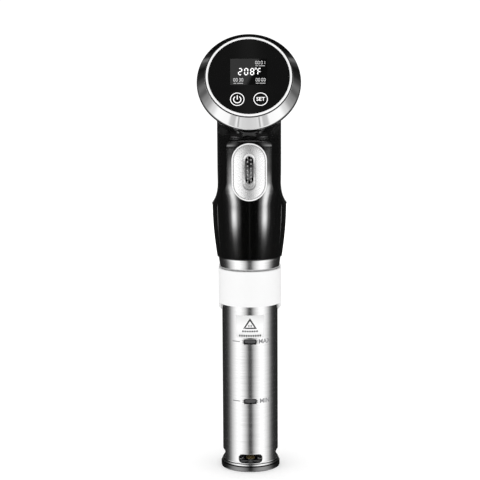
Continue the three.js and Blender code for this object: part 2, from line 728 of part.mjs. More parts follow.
function buildHead() {
  const group = new THREE.Group();
  group.position.copy(HEAD_CENTRE);
  group.rotation.x = HEAD_TILT;
  put(group, 'bezel_cone', bezelCone(), chrome());
  put(group, 'lens_trim_ring', lensTrimRing(), chrome());
  put(group, 'glass_lens', glassLens(), gloss_black());
  put(group, 'lens_gasket', ring(33.6, 36.8, 10.3, 11.5, 24), black_rubber());
  put(group, 'display_module', box([-16.4, -8.4, 6.3], [16.4, 17, 11.4]), matt_black());
  put(group, 'display_board', rod(32.6, 4.4, 6, 24), circuit_green());
  put(group, 'power_touch_spring', touchSpring(-10.45, -22.9), steel());
  put(group, 'set_touch_spring', touchSpring(10.45, -22.9), steel());
  return group;
}

function buildClip() {
  const group = new THREE.Group();
  put(group, 'clamp_collar', clampCollar(), white_plastic());
  put(group, 'wall_pad', box([-11, 31.3, 112], [11, 33.3, 142]), grey_rubber());
  put(group, 'clip_lever', clipLever(), white_plastic());
  put(group, 'clip_pad', box([-11, 38.9, 112], [11, JAW_ARM_Y - GAP, 142]), grey_rubber());
  put(group, 'clip_pin', crossRod(2, -18.4, 18.4, PIVOT_Y, PIVOT_Z), steel());
  put(group, 'clip_spring', clipSpring(), steel());
  return group;
}

object.add(buildTube(), buildRotor(), buildMotor(), buildElectronics(), buildBody(), buildHead(), buildClip());

export default object;
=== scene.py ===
"""Looks of a sous vide circulator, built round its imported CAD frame.

Lengths are in millimetres until a mesh is made, and the front faces -Y. The head's pieces
are drawn in the head's own tilted frame, where z runs out through the glass.
"""
import json
import math

import bmesh
import bpy
import numpy as np
from mathutils import Matrix, Vector
from mathutils.geometry import delaunay_2d_cdt

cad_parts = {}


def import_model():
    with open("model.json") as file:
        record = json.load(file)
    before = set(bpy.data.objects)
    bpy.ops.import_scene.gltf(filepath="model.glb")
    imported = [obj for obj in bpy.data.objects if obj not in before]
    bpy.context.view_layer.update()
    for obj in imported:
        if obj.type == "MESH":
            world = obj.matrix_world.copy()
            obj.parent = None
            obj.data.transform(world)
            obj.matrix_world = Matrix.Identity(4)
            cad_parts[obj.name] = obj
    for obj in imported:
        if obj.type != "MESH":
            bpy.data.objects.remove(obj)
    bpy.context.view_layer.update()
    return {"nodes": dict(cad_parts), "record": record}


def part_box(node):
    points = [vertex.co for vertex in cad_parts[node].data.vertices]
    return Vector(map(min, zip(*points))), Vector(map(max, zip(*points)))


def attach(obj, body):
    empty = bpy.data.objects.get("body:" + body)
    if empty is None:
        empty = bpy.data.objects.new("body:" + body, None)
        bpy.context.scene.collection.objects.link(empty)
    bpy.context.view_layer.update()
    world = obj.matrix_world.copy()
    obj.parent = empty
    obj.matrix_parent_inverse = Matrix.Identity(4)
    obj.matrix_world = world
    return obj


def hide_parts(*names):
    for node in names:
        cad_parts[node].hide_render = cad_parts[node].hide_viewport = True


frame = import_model()

MM = 0.001


def corners(node):
    """A CAD node's lowest and highest corners in millimetres."""
    low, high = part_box(node)
    return np.array(low) / MM, np.array(high) / MM


# ------------------------------------------------------------------ sizes
FIT_GAP = 0.3

TUBE_LOW, TUBE_HIGH = corners("steel_tube")
TUBE_R = TUBE_HIGH[0]
TUBE_WALL = 0.8
SHEET_STEP = 2.0
SHEET_LIP = 0.25
SLOT_Z = 12.0
SLOT_SIZE = (2 * TUBE_R * math.asin(10.9 / TUBE_R), 8.0)
LEVEL_SLOT = (12.2, 4.4)
LEVEL_CAP = (11.0, 3.3)
MIN_Z = corners("level_electrode_low")[0][2]
MAX_Z = corners("level_electrode_high")[0][2]
BASE_R = corners("base_cap")[1][0]
BASE_TOP = 5.2
LIP_R = 26.0
LIP_TOP = 7.0
INLET_R = 4.5
INLET_PITCH_R = 14
COLLAR_LOW, COLLAR_HIGH = corners("collar_ring")

BAND_R = corners("clamp_collar")[1][0]
BAND_TOP = corners("clamp_collar")[1][2]
BAND_BOTTOM = 153.3
BAND_BEVEL = 0.9
BRACKET_BOTTOM = 146.0
BRACKET_BACK = 31.0
BRACKET_R = 34.5
PIVOT = (38.0, 176.0)
JAW_BOTTOM = 110.0
LEVER_LEAN = math.radians(17)
LEVER_INSIDE, LEVER_OUTSIDE = 41.2, 44.2

BODY_BOTTOM = corners("rear_shell")[0][2]
BODY_WALL = 1.6
BARREL_FOOT_R = 29.7
BARREL_R = 33.8
SHOULDER_Z = 244.6
SCOOP_HEIGHT = 20.0
NECK_R = 28.8
PANEL_ANGLE = math.radians(36.7)
PANEL_FOOT_ANGLE = math.radians(57)
PANEL_EDGE = math.radians(3)
PANEL_FLATTER = 6.2
FLARE_Z = 248.0
FLARE_HEIGHT = 20.0
PANEL_TOP = 297.0
PANEL_LEAN = 9.0
ELBOW_Z = 306.0
FRONT_SHELL_TOP = 304.0
SEAM_GAP = 0.3
GROOVE = 0.6
SEAM_DEPTH = 1.4
REAR_ROUND = 0.4
FOOT_ROUND = 0.9
EDGE_STEPS = np.array([0.0, 0.04, 0.15, 0.35, 0.65, 1.0])
FRONT_SHARE = np.linspace(-1, 1, 62)[1:-1]
GLAND_Z = 280
GLAND_HOLE_R = 6.3
SCREW_PLACES = [(-16, 222), (16, 222), (-16, 297), (16, 297)]
SCREW_HOLE_R = 3.2
SCREW_DRIVE = (3.2, 0.7)

PLATE_LOW, PLATE_HIGH = corners("wheel_plate")
PLATE_Z = (PLATE_LOW[2] + PLATE_HIGH[2]) / 2
PLATE_SIZE = (PLATE_HIGH[0] - PLATE_LOW[0] + 0.8, PLATE_HIGH[2] - PLATE_LOW[2] + 0.4)
DISH_Z = 276.4
DISH_SIZE = (11.0, 32.7)
WELL_HOLE = (16, 39)
WHEEL_SLOT = (7.0, 24.2)
WHEEL_LOW, WHEEL_HIGH = corners("scroll_wheel")
WHEEL_Z = (WHEEL_LOW[2] + WHEEL_HIGH[2]) / 2
WHEEL_Y = (WHEEL_LOW[1] + WHEEL_HIGH[1]) / 2
WHEEL_R = (WHEEL_HIGH[2] - WHEEL_LOW[2]) / 2
WHEEL_BORE_R = 1.8
STUD_R = 0.6
STUD_COUNT = 24
STUD_SIDES = 12
STUD_RINGS = [(1.0, -0.8), (1.0, 0.5), (0.93, 0.95), (0.75, 1.35), (0.48, 1.62), (0.18, 1.75)]

HEAD_TILT = math.radians(63)
HEAD_CENTRE = Vector((0, -13, 353.1))
BOWL_RIM_R = 45.0
BOWL_SETBACK = 0.5
BEZEL_BACK_R = 46.2
BEZEL_FRONT_R = 38.9
TRIM_R = 37.9
LENS_R = 35.9
LENS_FRONT = 13.6
KEY_X, KEY_Y = 10.2, -21.9
MARK_FOOT = 0.01
LEGEND_SIZE = 5.8
LEGEND_X = 13.9

TENT_R = 1.5
TENT_Z = 0.3
BLACK_PIECES = ("front_shell", "rear_shell", "glass_lens", "cable_gland")
CHROME_PIECES = ("bezel_cone",)
FLOOR_SIZE = 30
SKY_STRENGTH = 1.08
CAMERA_DISTANCE = 1330
CAMERA_HEIGHT = 414
CAMERA_PITCH = 8.71
CAMERA_TURN = 0.375
CAMERA_ROLL = 0.32
FOCAL_LENGTH = 111.08
SENSOR = 36

HEAD = Matrix.Translation(HEAD_CENTRE) @ Matrix.Rotation(HEAD_TILT, 4, "X")
UPRIGHT = Matrix.Identity(4)
SIDEWAYS = Matrix.Rotation(math.pi / 2, 4, "Y")
REARWARD = Matrix.Rotation(-math.pi / 2, 4, "X")


# ------------------------------------------------------------------ outlines
def rectangle(x0, y0, x1, y1):
    return [(x0, y0), (x1, y0), (x1, y1), (x0, y1)]


def arc(centre, radius, start, end, count):
    return [(centre[0] + radius * math.cos(a), centre[1] + radius * math.sin(a))
            for a in np.linspace(start, end, count)]


def oval(centre, half_width, half_height, sides):
    return [(centre[0] + half_width * math.cos(a), centre[1] + half_height * math.sin(a))
            for a in np.linspace(0, math.tau, sides + 1)[:-1]]


def pill(width, height, arc_steps=24, line_steps=12):
    """Closed outline with round ends about the origin, counter-clockwise from its right-hand side."""
    radius = min(width, height) / 2
    half_x, half_y = width / 2 - radius, height / 2 - radius
    centres = [(half_x, half_y), (-half_x, half_y), (-half_x, -half_y), (half_x, -half_y)]
    points = []
    for quarter, (cx, cy) in enumerate(centres):
        for i in range(arc_steps // 2 + 1):
            a = (quarter + i / (arc_steps // 2)) * math.pi / 2
            points.append((cx + radius * math.cos(a), cy + radius * math.sin(a)))
    out = []
    for (x0, y0), (x1, y1) in zip(points, points[1:] + points[:1]):
        gap = math.hypot(x1 - x0, y1 - y0)
        if gap < 1e-9:
            continue
        parts = line_steps if gap > 2.5 * radius * math.pi / arc_steps else 1
        out += [(x0 + (x1 - x0) * i / parts, y0 + (y1 - y0) * i / parts) for i in range(parts)]
    return out


def pill_at(size, z):
    """A finely divided pill outline in (x, z)."""
    return [(x, z + up) for x, up in pill(*size, 48, 10)]


def rounded(points, radius, steps=5):
    """A polyline with each inner corner turned into an arc. radius is one number or one per point."""
    radii = [radius] * len(points) if np.isscalar(radius) else radius
    out = [tuple(points[0])]
    for before, corner, after, r in zip(points, points[1:], points[2:], radii[1:]):
        p, q, s = np.array(before, float), np.array(corner, float), np.array(after, float)
        into, away = p - q, s - q
        reach = min(np.linalg.norm(into), np.linalg.norm(away)) * 0.49
        into, away = into / np.linalg.norm(into), away / np.linalg.norm(away)
        half = math.acos(max(-1.0, min(1.0, float(into @ away)))) / 2
        if r <= 0 or half > 1.55:
            out.append(tuple(q))
            continue
        trim = min(r / math.tan(half), reach)
        r = trim * math.tan(half)
        centre = q + (into + away) / np.linalg.norm(into + away) * (r / math.sin(half))
        start, end = q + into * trim, q + away * trim
        for i in range(steps + 1):
            blend = start * (1 - i / steps) + end * (i / steps)
            out.append(tuple(centre + (blend - centre) / np.linalg.norm(blend - centre) * r))
    out.append(tuple(points[-1]))
    return out


def ring_profile(points, radius, steps=5):
    """A closed profile with all its corners rounded, starting in the middle of its first side."""
    middle = tuple((np.array(points[0], float) + np.array(points[-1], float)) / 2)
    radii = radius if np.isscalar(radius) else [0, *radius, 0]
    return rounded([middle, *points, middle], radii, steps)[:-1]


def smooth(t):
    t = np.clip(t, 0, 1)
    return t * t * (3 - 2 * t)


def ease_out(t):
    return 1 - (1 - np.clip(t, 0, 1)) ** 2


# ------------------------------------------------------------------ mesh helpers
def piece(name, vertices, faces, surface, body="housing", nodes=(), slot=None, place=UPRIGHT):
    """A smooth-shaded mesh from points in millimetres, riding on a CAD body."""
    mesh = bpy.data.meshes.new(name)
    mesh.from_pydata([tuple(place @ Vector(v) * MM) for v in vertices], [], faces)
    mesh.validate()
    mesh.update()
    mesh.polygons.foreach_set("use_smooth", [True] * len(mesh.polygons))
    mesh.materials.append(surface)
    obj = bpy.data.objects.new(name, mesh)
    bpy.context.scene.collection.objects.link(obj)
    if body:
        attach(obj, body)
    if nodes:
        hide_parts(*nodes)
    return obj


def weighted(obj):
    """Lets big faces set the shading, so flats stay flat beside their rounded edges."""
    modifier = obj.modifiers.new("weighted", "WEIGHTED_NORMAL")
    modifier.weight = 90
    modifier.keep_sharp = True


def bevelled(obj, width, segments=3, angle=35):
    modifier = obj.modifiers.new("bevel", "BEVEL")
    modifier.width = width * MM
    modifier.segments = segments
    modifier.limit_method = "ANGLE"
    modifier.angle_limit = math.radians(angle)
    weighted(obj)


def settle(obj):
    """Turns the modifiers so far into plain mesh."""
    depsgraph = bpy.context.evaluated_depsgraph_get()
    mesh = bpy.data.meshes.new_from_object(obj.evaluated_get(depsgraph), depsgraph=depsgraph)
    obj.modifiers.clear()
    old = obj.data
    obj.data = mesh
    bpy.data.meshes.remove(old)


def thicken(obj):
    modifier = obj.modifiers.new("wall", "SOLIDIFY")
    modifier.thickness = BODY_WALL * MM
    modifier.offset = -1
    settle(obj)


def mend(obj, *steps):
    """Runs bmesh steps on the object's mesh."""
    work = bmesh.new()
    work.from_mesh(obj.data)
    for step in steps:
        step(work)
    work.to_mesh(obj.data)
    work.free()
    return obj


def weld(obj, distance=1e-7):
    mend(obj, lambda work: bmesh.ops.remove_doubles(work, verts=work.verts, dist=distance),
         lambda work: bmesh.ops.dissolve_degenerate(work, edges=work.edges, dist=distance))


def facing_out(obj):
    return mend(obj, lambda work: bmesh.ops.recalc_face_normals(work, faces=work.faces))


def loose_vertices_gone(obj):
    mend(obj, lambda work: bmesh.ops.delete(
        work, geom=[v for v in work.verts if not v.link_faces], context="VERTS"))


def flat_shade(obj):
    obj.data.polygons.foreach_set("use_smooth", [False] * len(obj.data.polygons))


def grid_faces(rows, columns, wrap, ring=False):
    """Quads over rows of points. wrap closes each row, and ring joins the last row to the first."""
    faces = []
    for i in range(rows if ring else rows - 1):
        below = (i + 1) % rows
        for j in range(columns if wrap else columns - 1):
            k = (j + 1) % columns
            faces.append((i * columns + j, i * columns + k, below * columns + k, below * columns + j))
    return faces


def capped_faces(rows, columns):
    """Quads over closed rows, with a face over each end."""
    faces = grid_faces(rows, columns, True)
    last = (rows - 1) * columns
    return faces + [tuple(range(columns))[::-1], tuple(range(last, last + columns))]


def turned(name, profile, surface, steps=160, closed=True, **kwargs):
    """Turned shape about the local z axis. The profile's outer wall rises."""
    if closed:
        profile = [*profile, profile[0]]
    angles = np.arange(steps) / steps * math.tau
    vertices = [(r * math.cos(a), r * math.sin(a), z) for r, z in profile for a in angles]
    obj = piece(name, vertices, grid_faces(len(profile), steps, True), surface, **kwargs)
    weld(obj)
    weighted(obj)
    return obj


def prism(name, outline, start, end, axis, surface, **kwargs):
    """An outline pushed along an axis. For x the outline is in (y, z), and for y in (x, z)."""
    order = {"x": (2, 0, 1), "y": (0, 2, 1), "z": (0, 1, 2)}[axis]
    vertices = [tuple((u, v, w)[k] for k in order) for w in (start, end) for u, v in outline]
    return facing_out(piece(name, vertices, capped_faces(2, len(outline)), surface, **kwargs))


def soft_box(name, low, high, bevel, surface, **kwargs):
    """Block with rounded edges and corners."""
    outline = rectangle(low[0], low[1], high[0], high[1])
    bevelled(prism(name, outline, low[2], high[2], "z", surface, **kwargs), bevel, 4)


def cut(obj, outline, start, end, axis):
    """Cuts an outline's prism out of a mesh."""
    cutter = prism("cutter", outline, start, end, axis, obj.data.materials[0], body=None)
    modifier = obj.modifiers.new("cut", "BOOLEAN")
    modifier.object = cutter
    modifier.operation = "DIFFERENCE"
    modifier.solver = "EXACT"
    settle(obj)
    bpy.data.objects.remove(cutter)


def outline_faces(outlines):
    """All the outlines' points in one list, and one face for each outline."""
    points, faces = [], []
    for outline in outlines:
        faces.append(tuple(range(len(points), len(points) + len(outline))))
        points += outline
    return points, faces


def raised(name, shape, place_point, low, high, surface, **kwargs):
    """A flat mesh, as points and faces, given two levels and side walls."""
    points, faces = shape
    count = len(points)
    vertices = [place_point(u, v, height) for height in (low, high) for u, v in points]
    edges = dict.fromkeys((a, b) for face in faces for a, b in zip(face, face[1:] + face[:1]))
    out = [tuple(i + count for i in f) for f in faces] + [tuple(reversed(f)) for f in faces]
    out += [(a, b, b + count, a + count) for a, b in edges if (b, a) not in edges]
    return facing_out(piece(name, vertices, out, surface, **kwargs))


def pill_rings(name, outer, inner, stations, surface, place_point, **kwargs):
    """Skin between two pill outlines. stations are (share from outer to inner, height)."""
    vertices = [place_point(o[0] + (i[0] - o[0]) * share, o[1] + (i[1] - o[1]) * share, height)
                for share, height in stations for o, i in zip(outer, inner)]
    obj = piece(name, vertices, grid_faces(len(stations), len(outer), True), surface, **kwargs)
    weld(obj)
    weighted(facing_out(obj))


# ------------------------------------------------------------------ materials
class Nodes:
    """A material with a Principled shader, and short calls for the nodes round it."""

    def __init__(self, name, **values):
        self.material = bpy.data.materials.new(name)
        self.material.use_nodes = True
        self.tree = self.material.node_tree
        self.shader = self.tree.nodes["Principled BSDF"]
        for socket, value in values.items():
            self.shader.inputs[socket.replace("_", " ")].default_value = value

    def add(self, kind, inputs=None, **settings):
        node = self.tree.nodes.new(kind)
        for key, value in settings.items():
            setattr(node, key, value)
        for key, value in (inputs or {}).items():
            self.feed(node.inputs[key], value)
        return node

    def feed(self, socket, value):
        if isinstance(value, bpy.types.NodeSocket):
            self.tree.links.new(value, socket)
        else:
            socket.default_value = value

    def math(self, operation, first, second=0.0):
        return self.add("ShaderNodeMath", {0: first, 1: second}, operation=operation).outputs[0]

    def position(self):
        return self.add("ShaderNodeTexCoord").outputs["Object"]

    def parts(self, vector):
        return self.add("ShaderNodeSeparateXYZ", {0: vector}).outputs

    def join(self, x, y, z):
        return self.add("ShaderNodeCombineXYZ", {0: x, 1: y, 2: z}).outputs[0]

    def noise(self, vector, scale, detail, roughness=0.55):
        inputs = {"Vector": vector, "Scale": scale, "Detail": detail, "Roughness": roughness}
        return self.add("ShaderNodeTexNoise", inputs).outputs[0]

    def span(self, value, low, high, from_low=0.0, from_high=1.0):
        inputs = {0: value, 1: from_low, 2: from_high, 3: low, 4: high}
        return self.add("ShaderNodeMapRange", inputs, clamp=True).outputs[0]

    def mix(self, factor, first, second):
        node = self.add("ShaderNodeMix", data_type="RGBA")
        self.feed(node.inputs["Factor"], factor)
        self.feed(node.inputs[6], first)
        self.feed(node.inputs[7], second)
        return node.outputs[2]

    def bump(self, height, strength, distance):
        inputs = {"Strength": strength, "Distance": distance, "Height": height}
        self.use("Normal", self.add("ShaderNodeBump", inputs).outputs[0])

    def use(self, socket, value):
        self.feed(self.shader.inputs[socket], value)


def grey(value):
    return (value, value, value, 1)


def grained(name, tones=None, roughs=None, bump=None, span=(0.3, 0.7), **values):
    """A surface whose tone, roughness and height each follow a noise of their own.

    tones and roughs are (scale, detail, low, high), and bump is (scale, detail, strength, distance).
    """
    m = Nodes(name, **values)
    where = m.position()
    if tones:
        scale, detail, low, high = tones
        m.use("Base Color", m.mix(m.noise(where, scale, detail), low, high))
    if roughs:
        scale, detail, low, high = roughs
        m.use("Roughness", m.span(m.noise(where, scale, detail), low, high, *span))
    if bump:
        scale, detail, strength, distance = bump
        m.bump(m.noise(where, scale, detail), strength, distance)
    return m.material


def gloss_black():
    """Polished black moulding: faint ripple, fine handling haze, and duller corners under the head."""
    m = Nodes("gloss_black", Base_Color=grey(0.002), Roughness=0.1, Specular_IOR_Level=1.0)
    where = m.position()
    m.bump(m.noise(where, 90, 2), 0.05, 0.0004)
    haze = m.noise(where, 38, 5, 0.65)
    x, y, z = m.parts(where)
    aside = m.span(m.math("ABSOLUTE", x), 0, 1, 0.017, 0.023)
    beside = m.math("MULTIPLY", aside, m.span(y, 1, 0, -0.012, -0.002))
    overhung = m.math("MULTIPLY", m.span(z, 0, 0.55, 0.304, 0.311), beside)
    m.use("Roughness", m.math("ADD", overhung, m.span(haze, 0.07, 0.17, 0.35, 0.7)))
    m.use("Base Color", m.mix(haze, grey(0.0015), grey(0.0025)))
    return m.material


def brushed_steel():
    """Stainless tube brushed round its axis: long thin streaks and a patchy sheen."""
    tone = 0.74
    m = Nodes("brushed_stainless", Metallic=1.0, Roughness=0.2, Base_Color=grey(tone))
    x, y, z = m.parts(m.position())
    turn = m.math("ARCTAN2", y, x)
    streak = m.noise(m.join(m.math("MULTIPLY", turn, 0.9), 0.0, m.math("MULTIPLY", z, 1500)), 1.0, 4, 0.6)
    cloud = m.noise(m.join(m.math("MULTIPLY", turn, 1.2), 0.0, m.math("MULTIPLY", z, 22)), 1.0, 3)
    m.use("Base Color", m.mix(m.span(streak, 0, 1, 0.3, 0.7), grey(tone * 0.9), grey(tone * 1.08)))
    m.use("Roughness", m.math("ADD", m.span(streak, 0.08, 0.16, 0.3, 0.7), m.span(cloud, 0.0, 0.05)))
    m.bump(streak, 0.1, 0.00003)
    return m.material


def moulded(name, color, roughness, grain=900, depth=0.2):
    """Plain moulding or rubber with a fine grain."""
    dark = tuple(c * 0.85 for c in color)
    return grained(name, tones=(60, 3, (*dark, 1), (*color, 1)),
                   roughs=(200, 4, roughness - 0.08, roughness + 0.08),
                   bump=(grain, 3, depth, 0.00005), Base_Color=(*color, 1), Roughness=roughness)


def plain_metal(name, color, roughness):
    """Turned or drawn metal: streaks and slight tone changes."""
    m = Nodes(name, Metallic=1.0, Base_Color=(*color, 1), Roughness=roughness)
    x, y, z = m.parts(m.position())
    streak = m.noise(m.join(x, y, m.math("MULTIPLY", z, 12)), 160, 4)
    m.use("Roughness", m.span(streak, roughness - 0.08, roughness + 0.1, 0.3, 0.7))
    dark = tuple(c * 0.8 for c in color)
    m.use("Base Color", m.mix(streak, (*dark, 1), (*color, 1)))
    return m.material


def lens_glass():
    """Dark glass with a faint haze of handling."""
    m = Nodes("lens_glass", Base_Color=grey(0.006), Roughness=0.04, Specular_IOR_Level=0.5)
    haze = m.noise(m.position(), 55, 5, 0.65)
    m.use("Roughness", m.span(haze, 0.03, 0.09, 0.4, 0.75))
    m.use("Base Color", m.mix(haze, grey(0.0055), grey(0.007)))
    return m.material


def glowing(name, value, strength):
    """Lit or screen-printed marks with a slightly uneven tone."""
    return grained(name, tones=(900, 2, grey(value * 0.9), grey(value)), Base_Color=grey(value),
                   Roughness=0.5, Emission_Color=grey(1.0), Emission_Strength=strength)


def circuit_board():
    m = Nodes("circuit_board", Base_Color=(0.02, 0.14, 0.07, 1), Roughness=0.4)
    inputs = {"Vector": m.position(), "Scale": 260.0}
    tracks = m.add("ShaderNodeTexVoronoi", inputs, distance="CHEBYCHEV")
    track = m.span(tracks.outputs[0], 0, 1, 0.28, 0.34)
    m.use("Base Color", m.mix(track, (0.012, 0.1, 0.05, 1), (0.03, 0.2, 0.1, 1)))
    m.bump(track, 0.2, 0.00004)
    return m.material


MATERIALS = {
    "gloss_black_plastic": gloss_black(),
    "matt_black_plastic": moulded("matt_black", (0.02, 0.02, 0.021), 0.45),
    "base_metal": grained(
        "base_metal", tones=(70, 3, grey(0.18), grey(0.22)), roughs=(160, 4, 0.12, 0.2),
        bump=(700, 2, 0.08, 0.00004), Base_Color=grey(0.2), Roughness=0.16, Metallic=1.0),
    "brushed_stainless": brushed_steel(),
    "inner_stainless": plain_metal("inner_stainless", (0.3, 0.3, 0.305), 0.3),
    "mirror_chrome": grained(
        "mirror_chrome", roughs=(60, 4, 0.03, 0.08), bump=(45, 2, 0.03, 0.0003), span=(0.35, 0.7),
        Base_Color=grey(0.86), Roughness=0.05, Metallic=1.0),
    "satin_silver": grained(
        "satin_silver", tones=(120, 3, grey(0.84), grey(0.89)), roughs=(2600, 2, 0.22, 0.33),
        bump=(2600, 2, 0.12, 0.00002), Base_Color=grey(0.87), Roughness=0.27, Metallic=0.72),
    "white_plastic": grained(
        "white_plastic", tones=(25, 3, grey(0.86), grey(0.9)), roughs=(300, 4, 0.42, 0.58),
        bump=(1400, 3, 0.18, 0.00004), Base_Color=grey(0.87), Roughness=0.5),
    "grey_silicone": moulded("grey_silicone", (0.32, 0.33, 0.34), 0.7),
    "black_rubber": moulded("black_rubber", (0.02, 0.02, 0.02), 0.7),
    "lens_glass": lens_glass(),
    "circuit_board": circuit_board(),
    "motor_windings": plain_metal("motor_windings", (0.55, 0.28, 0.14), 0.35),
    "brass_fittings": plain_metal("brass_fittings", (0.4, 0.3, 0.13), 0.3),
    "nylon": moulded("nylon", (0.04, 0.04, 0.042), 0.4),
}
DISH_CHROME = grained(
    "dish_chrome", tones=(160, 3, grey(0.77), grey(0.83)), roughs=(900, 3, 0.22, 0.34),
    Base_Color=grey(0.8), Roughness=0.28, Metallic=0.6)
# Painted highlight: a near-white, hardly metallic surface that stands in for the bright reflection of the polished
# lens trim and the plate's rim.
TRIM_PAINTED_HIGHLIGHT = grained(
    "trim_painted_highlight", tones=(90, 2, grey(0.95), grey(0.98)), roughs=(220, 4, 0.16, 0.3),
    Base_Color=grey(0.97), Roughness=0.22, Metallic=0.05)
WHEEL_RUBBER = grained(
    "wheel_rubber", roughs=(500, 3, 0.16, 0.3), bump=(1500, 2, 0.1, 0.00003),
    Base_Color=grey(0.003), Roughness=0.22, Specular_IOR_Level=1.0, IOR=1.8)
# Painted highlight: the studs are light grey on the black wheel so that they read as bright specks.
STUD_PAINTED_HIGHLIGHT = moulded("stud_painted_highlight", (0.5, 0.5, 0.5), 0.35)
LIT = glowing("display_lit", 0.8, 0.75)
LIT_DIM = glowing("display_dim", 0.5, 0.42)
LIT_CAPTION = glowing("caption_lit", 0.3, 0.2)
ICON = glowing("icon_print", 0.8, 0.55)


# ------------------------------------------------------------------ body shells
def barrel_radius(z):
    return BARREL_FOOT_R + (BARREL_R - BARREL_FOOT_R) * ease_out((z - BODY_BOTTOM) / (SHOULDER_Z - BODY_BOTTOM))


def neck_radius(angle):
    """The neck is round behind and has flat sides, as far out as the barrel reaches."""
    flat = np.minimum(BARREL_R, NECK_R / np.maximum(np.sin(angle), 0.01))
    return np.where(angle < math.pi / 2, NECK_R, flat)


def folded(angle):
    angle = np.mod(angle, math.tau)
    return np.where(angle > math.pi, math.tau - angle, angle)


def panel_angle(z):
    """Half-angle of the front shell, which flares from the neck down to the barrel."""
    flare = (1 - np.clip((z - FLARE_Z) / FLARE_HEIGHT, 0, 1)) ** 2
    return PANEL_ANGLE + (PANEL_FOOT_ANGLE - PANEL_ANGLE) * flare


def side_radius(angle, z):
    shoulder = (1 - np.clip((z - SHOULDER_Z) / SCOOP_HEIGHT, 0, 1)) ** 3
    neck = neck_radius(folded(angle))
    return neck + (barrel_radius(z) - neck) * shoulder


def panel_radius(angle, z):
    """The front shell keeps the barrel's foremost line, and its arc is flatter further up."""
    flatter = PANEL_FLATTER * smooth((z - SHOULDER_Z) / SCOOP_HEIGHT)
    arc_square = (barrel_radius(z) + flatter) ** 2 - (flatter * np.sin(angle)) ** 2
    panel = np.sqrt(arc_square) - flatter * np.cos(angle)
    side = side_radius(angle, z)
    lean = np.clip((z - PANEL_TOP) / PANEL_LEAN, 0, 1)
    return side + (panel - side) * (1 - lean * lean * (1.6 - 0.6 * lean))


def polar_ring(angles, radius, z):
    return np.stack([radius * np.sin(angles), -radius * np.cos(angles), np.full_like(angles, z)], axis=1)


def head_point(up, out):
    return np.array(HEAD @ Vector((0, up, out)))


def elbow_ring(angles, t, inset):
    """A ring that leans from the level neck, at t 0, to the head's rim, at t 1."""
    rim_front = head_point(-BOWL_RIM_R, -BOWL_SETBACK)
    front = (1 - t) * np.array((0, -NECK_R, ELBOW_Z)) + t * rim_front
    controls = [
        np.array((0, BARREL_R, ELBOW_Z)), np.array((0, BARREL_R, ELBOW_Z + 40)),
        np.array((0, 26, 377)), head_point(BOWL_RIM_R, -BOWL_SETBACK),
    ]
    weights = [(1 - t) ** 3, 3 * t * (1 - t) ** 2, 3 * t * t * (1 - t), t ** 3]
    back = sum(w * c for w, c in zip(weights, controls))
    centre, depth = (front + back) / 2, np.linalg.norm(back - front) / 2
    along = (back - front) / np.linalg.norm(back - front)
    half_width = NECK_R + (BOWL_RIM_R - NECK_R) * float(smooth((t - 0.22) / 0.78))
    radius = neck_radius(folded(angles))
    across = (1 - t) * radius * np.sin(angles) / NECK_R + t * np.sin(angles)
    neck_depth, neck_shift = (BARREL_R + NECK_R) / 2, (BARREL_R - NECK_R) / 2
    forward = (1 - t) * (-radius * np.cos(angles) - neck_shift) / neck_depth - t * np.cos(angles)
    points = centre + np.outer((depth - inset) * forward, along)
    points[:, 0] = (half_width - inset) * across
    return points


def clustered(low, high, count, centres, reach, extra):
    """Even samples with extra ones close to each centre."""
    values = list(np.linspace(low, high, count))
    for centre in centres:
        values += [v for v in np.linspace(centre - reach, centre + reach, extra) if low < v < high]
    values = sorted(values)
    spacing = (high - low) / count / 12
    kept = [values[0]]
    for value in values[1:-1]:
        if value - kept[-1] > spacing and values[-1] - value > spacing:
            kept.append(value)
    return np.array(kept + [values[-1]])


def body_heights():
    """Levels up the shells as (z, inset), where the inset rounds the bottom edge."""
    centres = (SHOULDER_Z + 1, FLARE_Z + 4, PANEL_TOP + PANEL_LEAN / 2)
    heights = clustered(BODY_BOTTOM + FOOT_ROUND, FRONT_SHELL_TOP, 70, centres, 4, 18)
    foot = [(BODY_BOTTOM + FOOT_ROUND * (1 - math.sin(a)), FOOT_ROUND * (1 - math.cos(a)))
            for a in np.linspace(math.pi / 2, 0.2, 5)]
    return foot + [(z, 0.0) for z in heights]


def edge_drop(distance, radius):
    """How far a rounded edge has fallen away, at a distance from the edge."""
    inside = np.clip(radius - distance, 0, radius)
    return radius - np.sqrt(radius * radius - inside * inside)


def front_shell():
    """Panel with rounded edges that turn in to the seam, and the hole for the wheel's dish."""
    rows = []
    for z, inset in body_heights():
        edge = panel_angle(z)
        outer = panel_radius(np.array(edge), z)
        fillet = 0.4 + 0.5 * float(smooth((z - SHOULDER_Z) / 12))
        steps = EDGE_STEPS * fillet / outer
        middle = np.linspace(-edge + steps[-1], edge - steps[-1], 92)[1:-1]
        angles = np.concatenate([-edge + steps, middle, (edge - steps)[::-1]])
        radius = panel_radius(angles, z) - edge_drop((edge - np.abs(angles)) * outer, fillet) - inset
        root = float(side_radius(np.array(edge), z)) - SEAM_DEPTH - inset
        skirt = [radius[0] + (root - radius[0]) * share for share in (1.0, 0.5, 0.15)]
        radius = np.concatenate([skirt, radius, skirt[::-1]])
        angles = np.concatenate([[-edge] * 3, angles, [edge] * 3])
        rows.append(polar_ring(angles, radius, z))
    top = rows[-1]
    for share in (0.99, 0.95):
        rows.append(top * np.array([share, share, 1]) + np.array([0, 0, 0.08]))
    obj = piece("front_shell_skin", np.concatenate(rows), grid_faces(len(rows), len(top), False),
                MATERIALS["gloss_black_plastic"], nodes=["front_shell"], slot="gloss_black_plastic")
    thicken(obj)
    cut(obj, [(x, z + DISH_Z) for x, z in pill(*WELL_HOLE)], -45, -24, "y")
    weighted(obj)


